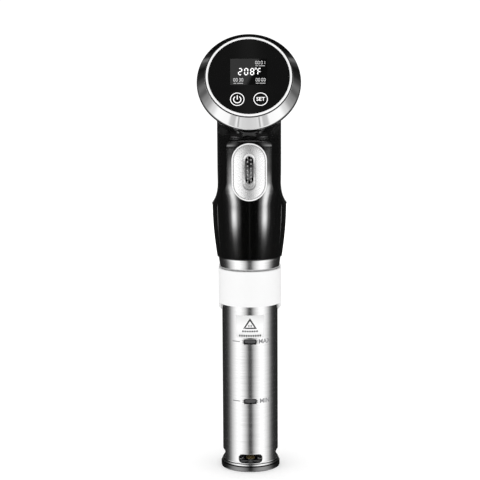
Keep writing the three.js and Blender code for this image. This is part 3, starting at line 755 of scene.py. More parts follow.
def rear_angles(z, share):
    """Bearings round the rear shell from one seam edge to the other, then across the front."""
    edge = panel_angle(z) + SEAM_GAP / NECK_R
    steps = EDGE_STEPS * REAR_ROUND / NECK_R
    sweep = edge + steps[-1] + share * (math.tau - 2 * (edge + steps[-1]))
    back = np.concatenate([[edge], edge + steps, sweep, (math.tau - edge - steps)[::-1], [math.tau - edge]])
    return np.concatenate([back, math.tau + FRONT_SHARE * edge])


def rear_ring(z, share, inset, seam_depth, front_tuck=0.0):
    """One level ring. The open stretch's edges turn in by seam_depth, the front by front_tuck."""
    angles = rear_angles(z, share)
    edge = angles[0]
    radius = side_radius(angles, z) - inset
    front = np.abs(np.mod(angles + math.pi, math.tau) - math.pi) < edge - 1e-9
    across = 1 - smooth((folded(angles) - panel_angle(z)) / PANEL_EDGE)
    lifted = radius + (panel_radius(folded(angles), z) - radius) * across - front_tuck
    radius = np.where(front, lifted, radius)
    count = len(angles) - len(FRONT_SHARE)
    radius[[0, count - 1]] -= seam_depth or GROOVE
    if seam_depth:
        from_edge = np.minimum(angles - edge, math.tau - edge - angles)[:count] * NECK_R
        radius[:count] -= edge_drop(from_edge, REAR_ROUND)
    return polar_ring(angles, radius, z)


def rear_shell():
    """Barrel and neck, open in front for the panel, that close above it and widen to the head's rim."""
    share = np.linspace(0, 1, 122)[1:-1]
    rows = [rear_ring(z, share, inset, SEAM_DEPTH) for z, inset in body_heights()]
    open_rows = len(rows)
    for rise, tuck in ((0.1, SEAM_DEPTH), (0.12, 0.3), (0.2, 0.1), (0.4, 0.0), (1.0, 0.0), (1.6, 0.0)):
        rows.append(rear_ring(FRONT_SHELL_TOP + rise, share, 0.0, 0.0, tuck))
    angles = rear_angles(ELBOW_Z, share)
    around = len(angles) - len(FRONT_SHARE)
    groove = np.zeros(len(angles))
    groove[[0, around - 1]] = GROOVE
    rows += [elbow_ring(angles, t, groove) for t in np.linspace(0, 1, 46)]
    rim = rows[-1]
    centre = rim.mean(axis=0)
    lip = np.array(HEAD.to_3x3() @ Vector((0, 0, 0.25)))
    rows.append(centre + (rim - centre) * (1 - 0.5 / BOWL_RIM_R) + lip)
    faces = []
    for index, face in enumerate(grid_faces(len(rows), len(angles), True)):
        row, column = divmod(index, len(angles))
        if row >= open_rows or column < around - 1:
            faces.append(face)
    obj = piece("rear_shell_skin", np.concatenate(rows), faces, MATERIALS["gloss_black_plastic"],
                nodes=["rear_shell"], slot="gloss_black_plastic")
    loose_vertices_gone(obj)
    thicken(obj)
    holes = [((0, GLAND_Z), GLAND_HOLE_R)] + [(place, SCREW_HOLE_R) for place in SCREW_PLACES]
    for place, radius in holes:
        cut(obj, oval(place, radius, radius, 40), 22, 45, "y")
    weighted(obj)


# ------------------------------------------------------------------ tube
def distance_to_pill(u, z, hole):
    cu, cz, width, height = hole
    radius = min(width, height) / 2
    du = max(abs(u - cu) - (width / 2 - radius), 0)
    dz = max(abs(z - cz) - (height / 2 - radius), 0)
    return math.hypot(du, dz) - radius


def sheet_layout(outline, holes):
    """Flat points and triangles of a sheet with pill-shaped holes, and a close ring round each hole."""
    low_u, high_u, low_z, high_z = outline
    columns = int(round((high_u - low_u) / SHEET_STEP))
    levels = int(round((high_z - low_z) / SHEET_STEP))
    keep_off = SHEET_LIP + SHEET_STEP * 0.45
    points = [Vector((u, z)) for u in np.linspace(low_u, high_u, columns + 1)
              for z in np.linspace(low_z, high_z, levels + 1)
              if all(distance_to_pill(u, z, hole) > keep_off for hole in holes)]
    edges = []
    for cu, cz, width, height in holes:
        for grow in (0.0, SHEET_LIP):
            loop = pill(width + 2 * grow, height + 2 * grow)
            first, count = len(points), len(loop)
            points += [Vector((cu + u, cz + z)) for u, z in loop]
            edges += [(first + i, first + (i + 1) % count) for i in range(count)]
    flat, _, triangles, *_ = delaunay_2d_cdt(points, edges, [], 0, 1e-6)
    kept = []
    for triangle in triangles:
        u = sum(flat[i].x for i in triangle) / 3
        z = sum(flat[i].y for i in triangle) / 3
        if all(distance_to_pill(u, z, hole) > 0 for hole in holes):
            kept.append(tuple(triangle))
    return flat, kept


def rolled_sheet(name, outline, holes, surface, **kwargs):
    """A drawn sheet bent into the tube. Outline and holes are in (length round the front, z)."""
    low_u, high_u, low_z, high_z = outline
    flat, kept = sheet_layout(outline, holes)
    vertices = []
    for side, radius in ((1, TUBE_R), (-1, TUBE_R - TUBE_WALL)):
        for p in flat:
            on_edge = any(abs(distance_to_pill(p.x, p.y, hole)) < 1e-3 for hole in holes)
            on_rim = min(p.y - low_z, high_z - p.y) < 1e-6
            r = radius - side * SHEET_LIP * (0.8 if on_edge else 0.5 if on_rim else 0)
            angle = p.x / TUBE_R
            vertices.append((r * math.sin(angle), -r * math.cos(angle), p.y))
    offset = len(flat)
    faces = kept + [tuple(i + offset for i in reversed(t)) for t in kept]
    edges = dict.fromkeys((a, b) for t in kept for a, b in zip(t, t[1:] + t[:1]))
    for a, b in edges:
        on_seam = any(abs(flat[a].x - u) < 1e-6 and abs(flat[b].x - u) < 1e-6 for u in (low_u, high_u))
        if (b, a) not in edges and not on_seam:
            faces.append((b, a, a + offset, b + offset))
    obj = piece(name, vertices, faces, surface, **kwargs)
    weld(obj, 1e-6)
    return facing_out(obj)


def steel_tube():
    quarter = TUBE_R * math.pi / 2
    high_u = TUBE_R * math.pi * 1.25
    holes = [(i * quarter, SLOT_Z, *SLOT_SIZE) for i in (-1, 0, 1, 2)]
    holes += [(0, z, *LEVEL_SLOT) for z in (MIN_Z, MAX_Z)]
    outline = (high_u - 4 * quarter, high_u, TUBE_LOW[2], TUBE_HIGH[2])
    weighted(rolled_sheet("steel_tube_skin", outline, holes, MATERIALS["brushed_stainless"],
                          nodes=["steel_tube"], slot="brushed_stainless"))


def base_cap():
    """Dark base ring with four inlets, and the tube's rolled lip above it."""
    outer = [(BASE_R - 0.2, 0), (BASE_R, 1.2), (BASE_R, BASE_TOP - 0.9), (BASE_R - 0.6, BASE_TOP),
             (23.9, BASE_TOP), (23.9, 7.6), (21.5, 7.6), (21.5, 2.5)]
    profile = rounded([(0.0, 0.0), *outer, (0.0, 2.5)], 0.45)
    obj = turned("base_cap_skin", profile, MATERIALS["base_metal"], closed=False,
                 nodes=["base_cap"], slot="base_metal")
    settle(obj)
    for i in range(4):
        angle = math.radians(45 + 90 * i)
        centre = (INLET_PITCH_R * math.cos(angle), INLET_PITCH_R * math.sin(angle))
        cut(obj, oval(centre, INLET_R, INLET_R, 32), -1, 5, "z")
    weighted(obj)
    inside, foot = TUBE_R - FIT_GAP, BASE_TOP - 0.4
    lip = [(inside, foot), (LIP_R, foot), (LIP_R, LIP_TOP - 0.3), (LIP_R - 0.5, LIP_TOP), (inside, LIP_TOP)]
    turned("base_lip", ring_profile(lip, 0.15), MATERIALS["brushed_stainless"], slot="brushed_stainless")


def collar_ring():
    low, high = COLLAR_LOW[2], COLLAR_HIGH[2]
    inner, outer = TUBE_R + FIT_GAP, COLLAR_HIGH[0]
    points = [(inner, low), (26.2, low), (27.0, low + 1.4), (outer, high - 1.6), (outer, high), (inner, high)]
    profile = ring_profile(points, [0.2, 0.6, 1.5, 1.0, 0.3, 0.2])
    turned("collar_ring_skin", profile, MATERIALS["brushed_stainless"],
           nodes=["collar_ring"], slot="brushed_stainless")


# ------------------------------------------------------------------ clamp collar and clip
def band_section(inner, outer):
    """The band's section as (radius, share of the height down, shift up), with rounded outer corners."""
    turns = [i / 5 * math.pi / 2 for i in range(6)]
    face = outer - BAND_BEVEL
    points = [(inner, 0.0, -0.3), (inner + 0.3, 0.0, 0.0)]
    points += [(face + BAND_BEVEL * math.sin(a), 0.0, -BAND_BEVEL * (1 - math.cos(a))) for a in turns]
    points += [(face + BAND_BEVEL * math.cos(a), 1.0, BAND_BEVEL * (1 - math.sin(a))) for a in turns]
    return points + [(inner + 0.3, 1.0, 0.0), (inner, 1.0, 0.3)]


def clamp_collar():
    """The band's section runs round the tube, with a deeper, thicker half at the rear."""
    side_angle = math.pi / 2
    angles = clustered(0, math.pi, 90, (side_angle + 0.02,), 0.05, 14)
    rows = []
    for angle in np.concatenate([angles, math.tau - angles[1:-1][::-1]]):
        a = float(folded(np.array(angle)))
        behind = float(smooth((a - side_angle - 0.015) / 0.025))
        x_factor = max(math.sin(a), 1e-6)
        back_r = min(BRACKET_R, BRACKET_BACK / max(-math.cos(a), 1e-6), BAND_R / x_factor)
        section = []
        for r, down, lift in band_section(TUBE_R + FIT_GAP, BAND_R + (back_r - BAND_R) * behind):
            slope = max(0.0, r * x_factor - (BAND_R - 2.6))
            bottom = BAND_BOTTOM + (BRACKET_BOTTOM + slope - BAND_BOTTOM) * behind
            height = BAND_TOP - down * (BAND_TOP - bottom) + lift
            section.append((r * math.sin(angle), -r * math.cos(angle), height))
        rows.append(section)
    faces = grid_faces(len(rows), len(rows[0]), True, ring=True)
    weighted(facing_out(piece("clamp_collar_skin", [p for row in rows for p in row], faces,
                              MATERIALS["white_plastic"], nodes=["clamp_collar"], slot="white_plastic")))


def clamp_rear():
    """Hinge ears and the fixed jaw tongue behind the tube."""
    white = MATERIALS["white_plastic"]
    pivot_y, pivot_z = PIVOT
    back = BRACKET_BACK
    ear = [(back - 1.5, pivot_z - 7), (pivot_y, pivot_z - 7), *arc((pivot_y - 2, pivot_z), 7, -1.5, 1.5, 15),
           (pivot_y, pivot_z + 7), (back - 1.5, pivot_z + 7)]
    for name, start, end in (("clamp_ear_left", -18.0, -14.4), ("clamp_ear_right", 14.4, 18.0)):
        bevelled(prism(name, ear, start, end, "x", white, slot="white_plastic"), 0.8)
    tongue = [(back - 4, BRACKET_BOTTOM + 3), (back - 4, JAW_BOTTOM + 3), (back - 2.6, JAW_BOTTOM),
              (back - 1, JAW_BOTTOM), (back, JAW_BOTTOM + 1.5), (back, BRACKET_BOTTOM + 3)]
    bevelled(prism("clamp_tongue", tongue, -12, 12, "x", white, slot="white_plastic"), 0.8)


def clip_lever():
    """Side outline of the lever, pushed across its width, with a gap for the spring and grip ribs."""
    white = MATERIALS["white_plastic"]
    pivot_z = PIVOT[1]
    pivot = np.array(PIVOT)
    up = np.array((math.sin(LEVER_LEAN), math.cos(LEVER_LEAN)))
    out = np.array((math.cos(LEVER_LEAN), -math.sin(LEVER_LEAN)))
    grip = [tuple(pivot + out * away + up * along) for away, along in ((2, 12), (2, 39), (5, 40), (5.2, 14))]
    outline = [
        (LEVER_INSIDE, JAW_BOTTOM + 1), (LEVER_INSIDE, pivot_z - 8),
        *arc(PIVOT, 5, math.radians(-70), math.radians(-265), 18), *grip,
        (LEVER_OUTSIDE + 1.0, pivot_z), (LEVER_OUTSIDE, pivot_z - 14), (LEVER_OUTSIDE, JAW_BOTTOM),
        (LEVER_INSIDE + 1.5, JAW_BOTTOM),
    ]
    obj = prism("clip_lever_skin", outline, -14, 14, "x", white, body="clip",
                nodes=["clip_lever"], slot="white_plastic")
    cut(obj, oval(PIVOT, 5.35, 5.35, 48), -7.3, 7.3, "x")
    cut(obj, oval(PIVOT, 2.3, 2.3, 32), -15, 15, "x")
    bevelled(obj, 0.7, 3, 40)
    for i in range(5):
        centre = pivot + out * 5.0 + up * (20 + 4 * i)
        section = [tuple(centre + up * x + out * y) for x, y in oval((0, 0), 1.1, 0.9, 16)]
        rib = prism(f"grip_rib_{i + 1}", section, -10, 10, "x", white, body="clip", slot="white_plastic")
        bevelled(rib, 0.4, 2, 50)


def clip_spring():
    """Close-wound spring on the pin, as a swept circle."""
    radius, wire, turns, length = 3.5, 0.6, 6, 11
    samples, sides = 40, 10
    count = turns * samples
    points = []
    for i in range(count + 1):
        a = i / samples * math.tau
        middle = np.array((-length / 2 + length * i / count, radius * math.cos(a), radius * math.sin(a)))
        outward = np.array((0, math.cos(a), math.sin(a)))
        for j in range(sides):
            b = j / sides * math.tau
            points.append(middle + wire * (math.cos(b) * outward + math.sin(b) * np.array((1.0, 0, 0))))
    vertices = np.array(points) + np.array((0, *PIVOT))
    facing_out(piece("clip_spring_skin", vertices, capped_faces(count + 1, sides),
                     MATERIALS["inner_stainless"], nodes=["clip_spring"], slot="inner_stainless"))


def clip_hardware():
    """Pin, spring and the two ribbed pads."""
    across = Matrix.Translation((0, *PIVOT)) @ SIDEWAYS
    profile = rounded([(0, -18.4), (2, -18.4), (2, 18.4), (0, 18.4)], 0.5)
    turned("clip_pin_skin", profile, MATERIALS["inner_stainless"], steps=48, closed=False, place=across,
           nodes=["clip_pin"], slot="inner_stainless")
    clip_spring()
    rubber = MATERIALS["grey_silicone"]
    for node, body in (("wall_pad", "housing"), ("clip_pad", "clip")):
        low, high = corners(node)
        soft_box(f"{node}_skin", low, high, 0.7, rubber, body=body, nodes=[node], slot="grey_silicone")
        face = low[1] if node == "clip_pad" else high[1]
        for i in range(6):
            section = oval((face, low[2] + 3 + i * 4.8), 0.35, 1.2, 14)
            weighted(prism(f"{node}_rib_{i + 1}", section, -9.5, 9.5, "x", rubber,
                           body=body, slot="grey_silicone"))


# ------------------------------------------------------------------ oval plate and wheel
def on_panel(x, z, height):
    """Point ahead of the front shell's flatter arc, straight ahead of x."""
    radius = BARREL_R + PANEL_FLATTER + height
    return (x, PANEL_FLATTER - math.sqrt(radius * radius - x * x), z)


def wheel_plate():
    """Raised rim painted near white as a painted highlight, a dark groove inside it, then a face that swells
    towards the dish.
    """
    outer, inner = pill_at(PLATE_SIZE, PLATE_Z), pill_at(DISH_SIZE, DISH_Z)
    rim = [(0.0, -2.4), (0.0, 0.85), (0.02, 1.22), (0.05, 1.4), (0.085, 1.42), (0.115, 1.3), (0.13, 1.0),
           (0.13, -2.4), (0.0, -2.4)]
    face = [(0.132, -2.4), (0.132, 0.4), (0.17, 0.4), (0.18, 0.95), (0.2, 1.12), (0.4, 1.28), (0.6, 1.42),
            (0.8, 1.54), (0.94, 1.6), (0.975, 1.56), (0.995, 1.42), (1.0, 1.25), (1.0, -0.6), (0.132, -2.4)]
    pill_rings("wheel_plate_skin", outer, inner, face, MATERIALS["satin_silver"], on_panel,
               nodes=["wheel_plate"], slot="satin_silver")
    pill_rings("plate_rim", outer, inner, rim, TRIM_PAINTED_HIGHLIGHT, on_panel, slot="satin_silver")


def wheel_well():
    """Dish round the wheel, and a cheek at each side of the wheel."""
    profile = [(0.0, 31.4), (0.0, 34.2), (0.07, 34.4), (0.2, 34.3), (0.6, 33.7), (0.92, 33.3), (1.0, 33.1),
               (1.0, 32.8), (0.9, 32.5), (0.5, 31.8), (0.0, 31.4)]
    pill_rings("wheel_well_skin", pill_at((10.8, 32.5), DISH_Z), pill_at(WHEEL_SLOT, WHEEL_Z), profile,
               DISH_CHROME, lambda x, z, ahead: (x, -ahead, z), nodes=["wheel_well"], slot="mirror_chrome")
    for name, left, right in (("well_cheek_left", -6.7, -4.7), ("well_cheek_right", 4.7, 6.7)):
        soft_box(name, (left, -30.8, WHEEL_Z - 9), (right, WHEEL_Y + 4, WHEEL_Z + 9), 0.4,
                 MATERIALS["matt_black_plastic"], slot="matt_black_plastic")


def stud(offset, turn, radius):
    """Low rounded stud on the wheel's rim, as rings that shrink to a top."""
    vertices = []
    for scale, lift in STUD_RINGS:
        for j in range(STUD_SIDES):
            b = j / STUD_SIDES * math.tau
            angle = turn + STUD_R * scale * math.sin(b) / radius
            r = radius + lift
            vertices.append((r * math.cos(angle), r * math.sin(angle), offset + STUD_R * scale * math.cos(b)))
    return vertices


def scroll_wheel():
    """Crowned wheel with two rows of studs round its rim, the studs painted light grey as painted highlights."""
    half = (WHEEL_HIGH[0] - WHEEL_LOW[0]) / 2
    rim = WHEEL_R - 1.7
    across = Matrix.Translation((0, WHEEL_Y, WHEEL_Z)) @ SIDEWAYS
    points = [(WHEEL_BORE_R, -half), (rim - 2.2, -half), (rim - 0.5, -half * 0.55), (rim, -0.5), (rim, 0.5),
              (rim - 0.5, half * 0.55), (rim - 2.2, half), (WHEEL_BORE_R, half)]
    profile = ring_profile(points, [0.2, 1.2, 1.5, 1.0, 1.0, 1.5, 1.2, 0.2], 4)
    turned("scroll_wheel_skin", profile, WHEEL_RUBBER, steps=120, place=across, body="wheel",
           nodes=["scroll_wheel"], slot="matt_black_plastic")
    vertices, faces = [], []
    for side in (-1, 1):
        for i in range(STUD_COUNT):
            turn = (i + (0.5 if side > 0 else 0)) / STUD_COUNT * math.tau
            first = len(vertices)
            vertices += [tuple(across @ Vector(v)) for v in stud(side * 1.5, turn, rim - 0.1)]
            faces += [tuple(first + n for n in face) for face in capped_faces(len(STUD_RINGS), STUD_SIDES)]
    facing_out(piece("scroll_wheel_studs", vertices, faces, STUD_PAINTED_HIGHLIGHT, body="wheel", slot="matt_black_plastic"))


# ------------------------------------------------------------------ head
def head_turned(name, profile, surface, slot, nodes=(), closed=True):
    turned(name, profile, surface, steps=256, closed=closed, place=HEAD, nodes=nodes, slot=slot)


def bezel():
    """Chrome cone, trim ring painted near white as a painted highlight, with its seal, and the glass."""
    cone = [(43.8, 0), (BEZEL_BACK_R, 0), (BEZEL_BACK_R, 3.0), (BEZEL_FRONT_R, 12.6), (37.2, 12.6),
            (37.2, 10.0), (33.2, 10.0), (33.2, 8.6), (38.6, 8.6)]
    cone_profile = ring_profile(cone, [0.2, 0.35, 5.5, 0.4, 0.2, 0.2, 0.2, 0.2, 0.2], 9)
    head_turned("bezel_cone_skin", cone_profile, MATERIALS["mirror_chrome"], "mirror_chrome", ["bezel_cone"])
    trim = [(LENS_R + 0.1, 12.7), (TRIM_R, 12.7), (TRIM_R, 13.5), (37.5, 14.2), (36.7, 14.3), (LENS_R + 0.1, 13.8)]
    trim_profile = ring_profile(trim, [0.1, 0.2, 0.5, 0.6, 0.5, 0.15])
    head_turned("lens_trim_skin", trim_profile, TRIM_PAINTED_HIGHLIGHT, "mirror_chrome", ["lens_trim_ring"])
    seal = [(37.8, 12.4), (BEZEL_FRONT_R, 12.4), (BEZEL_FRONT_R, 12.8), (37.8, 12.8)]
    head_turned("trim_seal", ring_profile(seal, 0.1), MATERIALS["black_rubber"], "black_rubber")
    glass = rounded([(0, 11.8), (LENS_R, 11.8), (LENS_R, LENS_FRONT), (0, LENS_FRONT)], 0.3)
    head_turned("glass_lens_skin", glass, MATERIALS["lens_glass"], "lens_glass", ["glass_lens"], closed=False)


def lens_mark(name, shape, surface, lift=0.06):
    """Thin flat shapes on the glass, drawn in the head's (x, up)."""
    flat_shade(raised(name, shape, lambda u, v, height: (u, v, LENS_FRONT + height), MARK_FOOT, lift,
                      surface, place=HEAD))


def digit(character, x, y, width, height, slant=0.0):
    """Seven-segment outlines for one character with its lower left corner at x, y."""
    lit = {"0": "abcdef", "1": "bc", "2": "abdeg", "3": "abcdg", "8": "abcdefg", "F": "aefg"}[character]
    half = height / 2
    bars = {
        "a": ((0, height), (width, height)), "d": ((0, 0), (width, 0)), "g": ((0, half), (width, half)),
        "f": ((0, half), (0, height)), "b": ((width, half), (width, height)),
        "e": ((0, 0), (0, half)), "c": ((width, 0), (width, half)),
    }
    thick = height * 0.14
    gap, t = thick * 0.28, thick / 2
    out = []
    for letter in lit:
        (x0, y0), (x1, y1) = bars[letter]
        if y0 == y1:
            x0, x1 = x0 + gap, x1 - gap
            hexagon = [(x0, y0), (x0 + t, y0 - t), (x1 - t, y0 - t), (x1, y0), (x1 - t, y0 + t), (x0 + t, y0 + t)]
        else:
            y0, y1 = y0 + gap, y1 - gap
            hexagon = [(x0, y0), (x0 + t, y0 + t), (x0 + t, y1 - t), (x0, y1), (x0 - t, y1 - t), (x0 - t, y0 + t)]
        out.append([(x + u + slant * v, y + v) for u, v in hexagon])
    return out


def arc_band(centre, radius, width, start, end, steps):
    """Outlines for a stretch of ring, as short quads so that a full ring stays simple."""
    angles = (math.radians(start), math.radians(end), steps + 1)
    inner, outer = arc(centre, radius - width / 2, *angles), arc(centre, radius + width / 2, *angles)
    return [[inner[i], outer[i], outer[i + 1], inner[i + 1]] for i in range(steps)]


def display():
    """Dim window with its temperature, three timers and the bars that stand for captions."""
    screen = Nodes("display_screen", Base_Color=grey(0.012), Roughness=0.12)
    # Painted reflection: the window's tone turns lighter past a sharp diagonal, towards the upper left, as if the
    # glass mirrored a bright patch.
    x, y, z = screen.parts(screen.position())
    slope = screen.math("ADD", screen.math("MULTIPLY", x, -1.0), screen.math("MULTIPLY", z, 0.5))
    shade = screen.span(slope, 0, 1, 0.176, 0.1795)
    screen.use("Base Color", screen.mix(shade, grey(0.004), grey(0.035)))
    lens_mark("display_window", outline_faces([rectangle(-16.3, -8.2, 16.3, 16.8)]), screen.material, 0.03)
    big = []
    for i, character in enumerate("208"):
        big += digit(character, -9.1 + i * 5.3, 1.4, 2.7, 6.0, 0.05)
    big += arc_band((6.2, 7.3), 0.65, 0.45, 0, 360, 20)
    big += digit("F", 7.8, 1.4, 2.6, 6.0, 0.05)
    lens_mark("display_temperature", outline_faces(big), LIT)
    small, captions = [], []
    for text, left, foot, caption_foot in (("0001", 5.9, 11.6, 9.6), ("0030", -13.4, -4.9, -7.1),
                                           ("0000", 6.2, -4.9, -7.1)):
        for i, character in enumerate(text):
            small += digit(character, left + i * 2.15 + (0.5 if i > 1 else 0), foot, 1.25, 2.9)
        for start, length in ((0, 2.4), (3.1, 5.2)):
            captions.append(rectangle(left + start, caption_foot, left + start + length, caption_foot + 0.75))
    lens_mark("display_timers", outline_faces(small), LIT_DIM)
    lens_mark("display_captions", outline_faces(captions), LIT_CAPTION)


def touch_icons():
    """Ringed power symbol and ringed legend."""
    rings = arc_band((-KEY_X, KEY_Y), 5.9, 0.62, 0, 360, 64) + arc_band((KEY_X, KEY_Y), 5.9, 0.62, 0, 360, 64)
    rings += arc_band((-KEY_X, KEY_Y - 0.2), 3.2, 0.75, 125, 415, 40)
    rings.append(rectangle(-KEY_X - 0.37, KEY_Y - 0.3, -KEY_X + 0.37, KEY_Y + 3.7))
    lens_mark("touch_icons", outline_faces(rings), ICON)
    lens_mark("set_legend", text_shape("SET", 4.9, (KEY_X, KEY_Y)), ICON)


def text_shape(text, size, centre):
    """A word in Blender's own font, as a flat mesh's points and faces, with short edges."""
    curve = bpy.data.curves.new("word", "FONT")
    curve.body = text
    curve.size = size
    curve.align_x, curve.align_y = "CENTER", "CENTER"
    curve.offset = size * 0.012
    curve.resolution_u = 3
    holder = bpy.data.objects.new("word", curve)
    bpy.context.scene.collection.objects.link(holder)
    mesh = bpy.data.meshes.new_from_object(holder.evaluated_get(bpy.context.evaluated_depsgraph_get()))
    bpy.data.objects.remove(holder)
    bpy.data.curves.remove(curve)
    work = bmesh.new()
    work.from_mesh(mesh)
    bpy.data.meshes.remove(mesh)
    bmesh.ops.triangulate(work, faces=work.faces)
    for _ in range(3):
        long_edges = [e for e in work.edges if e.calc_length() > 1.0]
        bmesh.ops.subdivide_edges(work, edges=long_edges, cuts=1)
        bmesh.ops.triangulate(work, faces=work.faces)
    points = [(centre[0] + v.co.x, centre[1] + v.co.y) for v in work.verts]
    faces = [tuple(v.index for v in f.verts) for f in work.faces]
    work.free()
    return points, faces


# ------------------------------------------------------------------ marks on the tube
def round_tube(u, z, lift):
    angle = u / TUBE_R
    r = TUBE_R + lift
    return (r * math.sin(angle), -r * math.cos(angle), z)


def curved_panel(name, outline, lift, surface, **kwargs):
    """Thin patch that follows the tube. outline is (u0, u1, z0, z1)."""
    u0, u1, z0, z1 = outline
    columns = max(2, int(u1 - u0) + 1)
    points = [(u, z) for z in (z0, z1) for u in np.linspace(u0, u1, columns)]
    raised(name, (points, grid_faces(2, columns, False)), round_tube, MARK_FOOT, lift, surface, **kwargs)


def level_marks():
    """At each level a legend, a tick and the cap that fills the slot."""
    ink = moulded("etched_grey", (0.25, 0.25, 0.26), 0.6)
    cap_grey = moulded("level_cap_grey", (0.07, 0.07, 0.072), 0.4)
    outline = pill(*LEVEL_CAP, 32, 14)
    middle = [(0.0, 0.0)] * len(outline)
    profile = [(0.0, -2.0), (0.0, -1.15), (0.06, -0.95), (0.3, -0.9), (0.7, -0.9), (0.99, -0.9)]
    for side, z in (("max", MAX_Z), ("min", MIN_Z)):
        legend = text_shape(side.upper(), LEGEND_SIZE, (LEGEND_X, z))
        flat_shade(raised(f"{side}_legend", legend, round_tube, 0.0, 0.1, ink))
        curved_panel(f"{side}_tick", (-17.0, -9.4, z - 0.35, z + 0.35), 0.1, ink)
        pill_rings(f"{side}_level_cap", outline, middle, profile, cap_grey,
                   lambda u, v, height, z=z: round_tube(u, z + v, height), slot="nylon")


def heat_label():
    """White film with a plain triangle, three strokes in it and two rows of bars below."""
    low, high = corners("heat_label")
    half = TUBE_R * math.asin(high[0] / TUBE_R)
    film = moulded("label_film", (1.0, 1.0, 1.0), 0.5, 2000, 0.05)
    curved_panel("heat_label_skin", (-half, half, low[2], high[2]), 0.12, film,
                 nodes=["heat_label"], slot="white_plastic")
    top, foot = high[2] - 2.4, high[2] - 12.3
    outer = [(-6.2, foot), (6.2, foot), (0.0, top)]
    inner = [(-4.1, foot + 1.2), (4.1, foot + 1.2), (0.0, top - 2.6)]
    sign = []
    for i in range(3):
        k = (i + 1) % 3
        for s in range(8):
            shares = ((outer, s / 8), (outer, (s + 1) / 8), (inner, (s + 1) / 8), (inner, s / 8))
            sign.append([tuple(np.array(loop[i]) * (1 - share) + np.array(loop[k]) * share)
                         for loop, share in shares])
    sign += [rectangle(x - 0.28, foot + 1.7, x + 0.28, foot + 3.9) for x in (-1.4, 0, 1.4)]
    for half_width, z, height, count in ((7.4, foot - 3.0, 1.5, 7), (10.4, foot - 7.2, 1.7, 10)):
        pitch = 2 * half_width / count
        for i in range(count):
            x = -half_width + i * pitch
            sign.append(rectangle(x + 0.35, z, x + pitch - 0.35, z + height))
    ink = moulded("label_ink", (0.03, 0.03, 0.03), 0.6)
    flat_shade(raised("label_print", outline_faces(sign), round_tube, 0.12, 0.15, ink))


# ------------------------------------------------------------------ rear details
def cable_gland():
    points = [(3.5, 29), (6, 29), (6, 34.0), (8, 34.0), (8, 36.0), (6.6, 36.6), (6.2, 38.4), (6.6, 38.9),
              (6.4, 40.2), (5.9, 40.8), (6.2, 41.4), (5.9, 42.6), (5.6, 44), (3.5, 44)]
    turned("cable_gland_skin", ring_profile(points, 0.35, 3), MATERIALS["black_rubber"], steps=72,
           place=Matrix.Translation((0, 0, GLAND_Z)) @ REARWARD, nodes=["cable_gland"], slot="black_rubber")


def case_screws():
    """Sunk heads with a cross drive."""
    steel = MATERIALS["inner_stainless"]
    for number, (x, z) in enumerate(SCREW_PLACES, 1):
        surface = math.sqrt(float(barrel_radius(np.array(z))) ** 2 - x * x)
        head = rounded([(0, surface - 9), (1.5, surface - 9), (1.5, surface - 3), (2.8, surface - 3),
                        (2.8, surface - 1.5), (2.2, surface - 1), (0, surface - 1)], 0.2, 3)
        obj = turned(f"case_screw_{number}_skin", head, steel, steps=40, closed=False,
                     place=Matrix.Translation((x, 0, z)) @ REARWARD,
                     nodes=[f"case_screw_{number}"], slot="inner_stainless")
        settle(obj)
        for width, height in (SCREW_DRIVE[::-1], SCREW_DRIVE):
            cross = rectangle(x - width / 2, z - height / 2, x + width / 2, z + height / 2)
            cut(obj, cross, surface - 2.1, surface + 1, "y")
        weighted(obj)


# ------------------------------------------------------------------ CAD nodes that stay
def finish_cad_nodes():
    """Every carried-over CAD node takes the procedural material of its record slot."""
    for entry in frame["record"]["subparts"]:
        node = frame["nodes"][entry["node"]]
        node.data.materials.clear()
        node.data.materials.append(MATERIALS[entry["material_slot"]])


# ------------------------------------------------------------------ studio
def studio_floor():
    mesh = bpy.data.meshes.new("floor")
    outline = rectangle(-FLOOR_SIZE, -FLOOR_SIZE, FLOOR_SIZE, FLOOR_SIZE)
    mesh.from_pydata([(x, y, 0) for x, y in outline], [], [(0, 1, 2, 3)])
    floor = bpy.data.objects.new("floor", mesh)
    bpy.context.scene.collection.objects.link(floor)
    m = Nodes("floor_white", Base_Color=grey(0.93), Roughness=0.9, Specular_IOR_Level=0.0,
              Emission_Color=grey(1.0), Emission_Strength=0.14)
    m.use("Base Color", m.mix(m.noise(m.position(), 3, 2), grey(0.925), grey(0.935)))
    mesh.materials.append(m.material)
    floor.visible_glossy = False


def light_tent(name, radius, emission, receivers):
    """Globe of light and dark round the object that only the receivers' reflections see."""
    mesh = bpy.data.meshes.new(name)
    work = bmesh.new()
    bmesh.ops.create_uvsphere(work, u_segments=72, v_segments=36, radius=radius)
    bmesh.ops.translate(work, verts=work.verts, vec=(0, 0, TENT_Z))
    work.to_mesh(mesh)
    work.free()
    tent = bpy.data.objects.new(name, mesh)
    bpy.context.scene.collection.objects.link(tent)
    mesh.materials.append(emission)
    emission.cycles.emission_sampling = "NONE"
    tent.visible_camera = False
    tent.visible_diffuse = False
    tent.visible_shadow = False
    tent.visible_transmission = False
    tent.light_linking.receiver_collection = receivers


def ramp(m, value, stops):
    """Brightness that eases from one (value, brightness) stop to the next."""
    low, high = stops[0][0], stops[-1][0]
    node = m.add("ShaderNodeValToRGB", {0: m.span(value, 0, 1, low, high)})
    node.color_ramp.interpolation = "EASE"
    elements = node.color_ramp.elements
    elements[0].position, elements[0].color = 0, grey(stops[0][1])
    elements[1].position, elements[1].color = 1, grey(stops[-1][1])
    for place, brightness in stops[1:-1]:
        elements.new((place - low) / (high - low)).color = grey(brightness)
    return node.outputs[0]


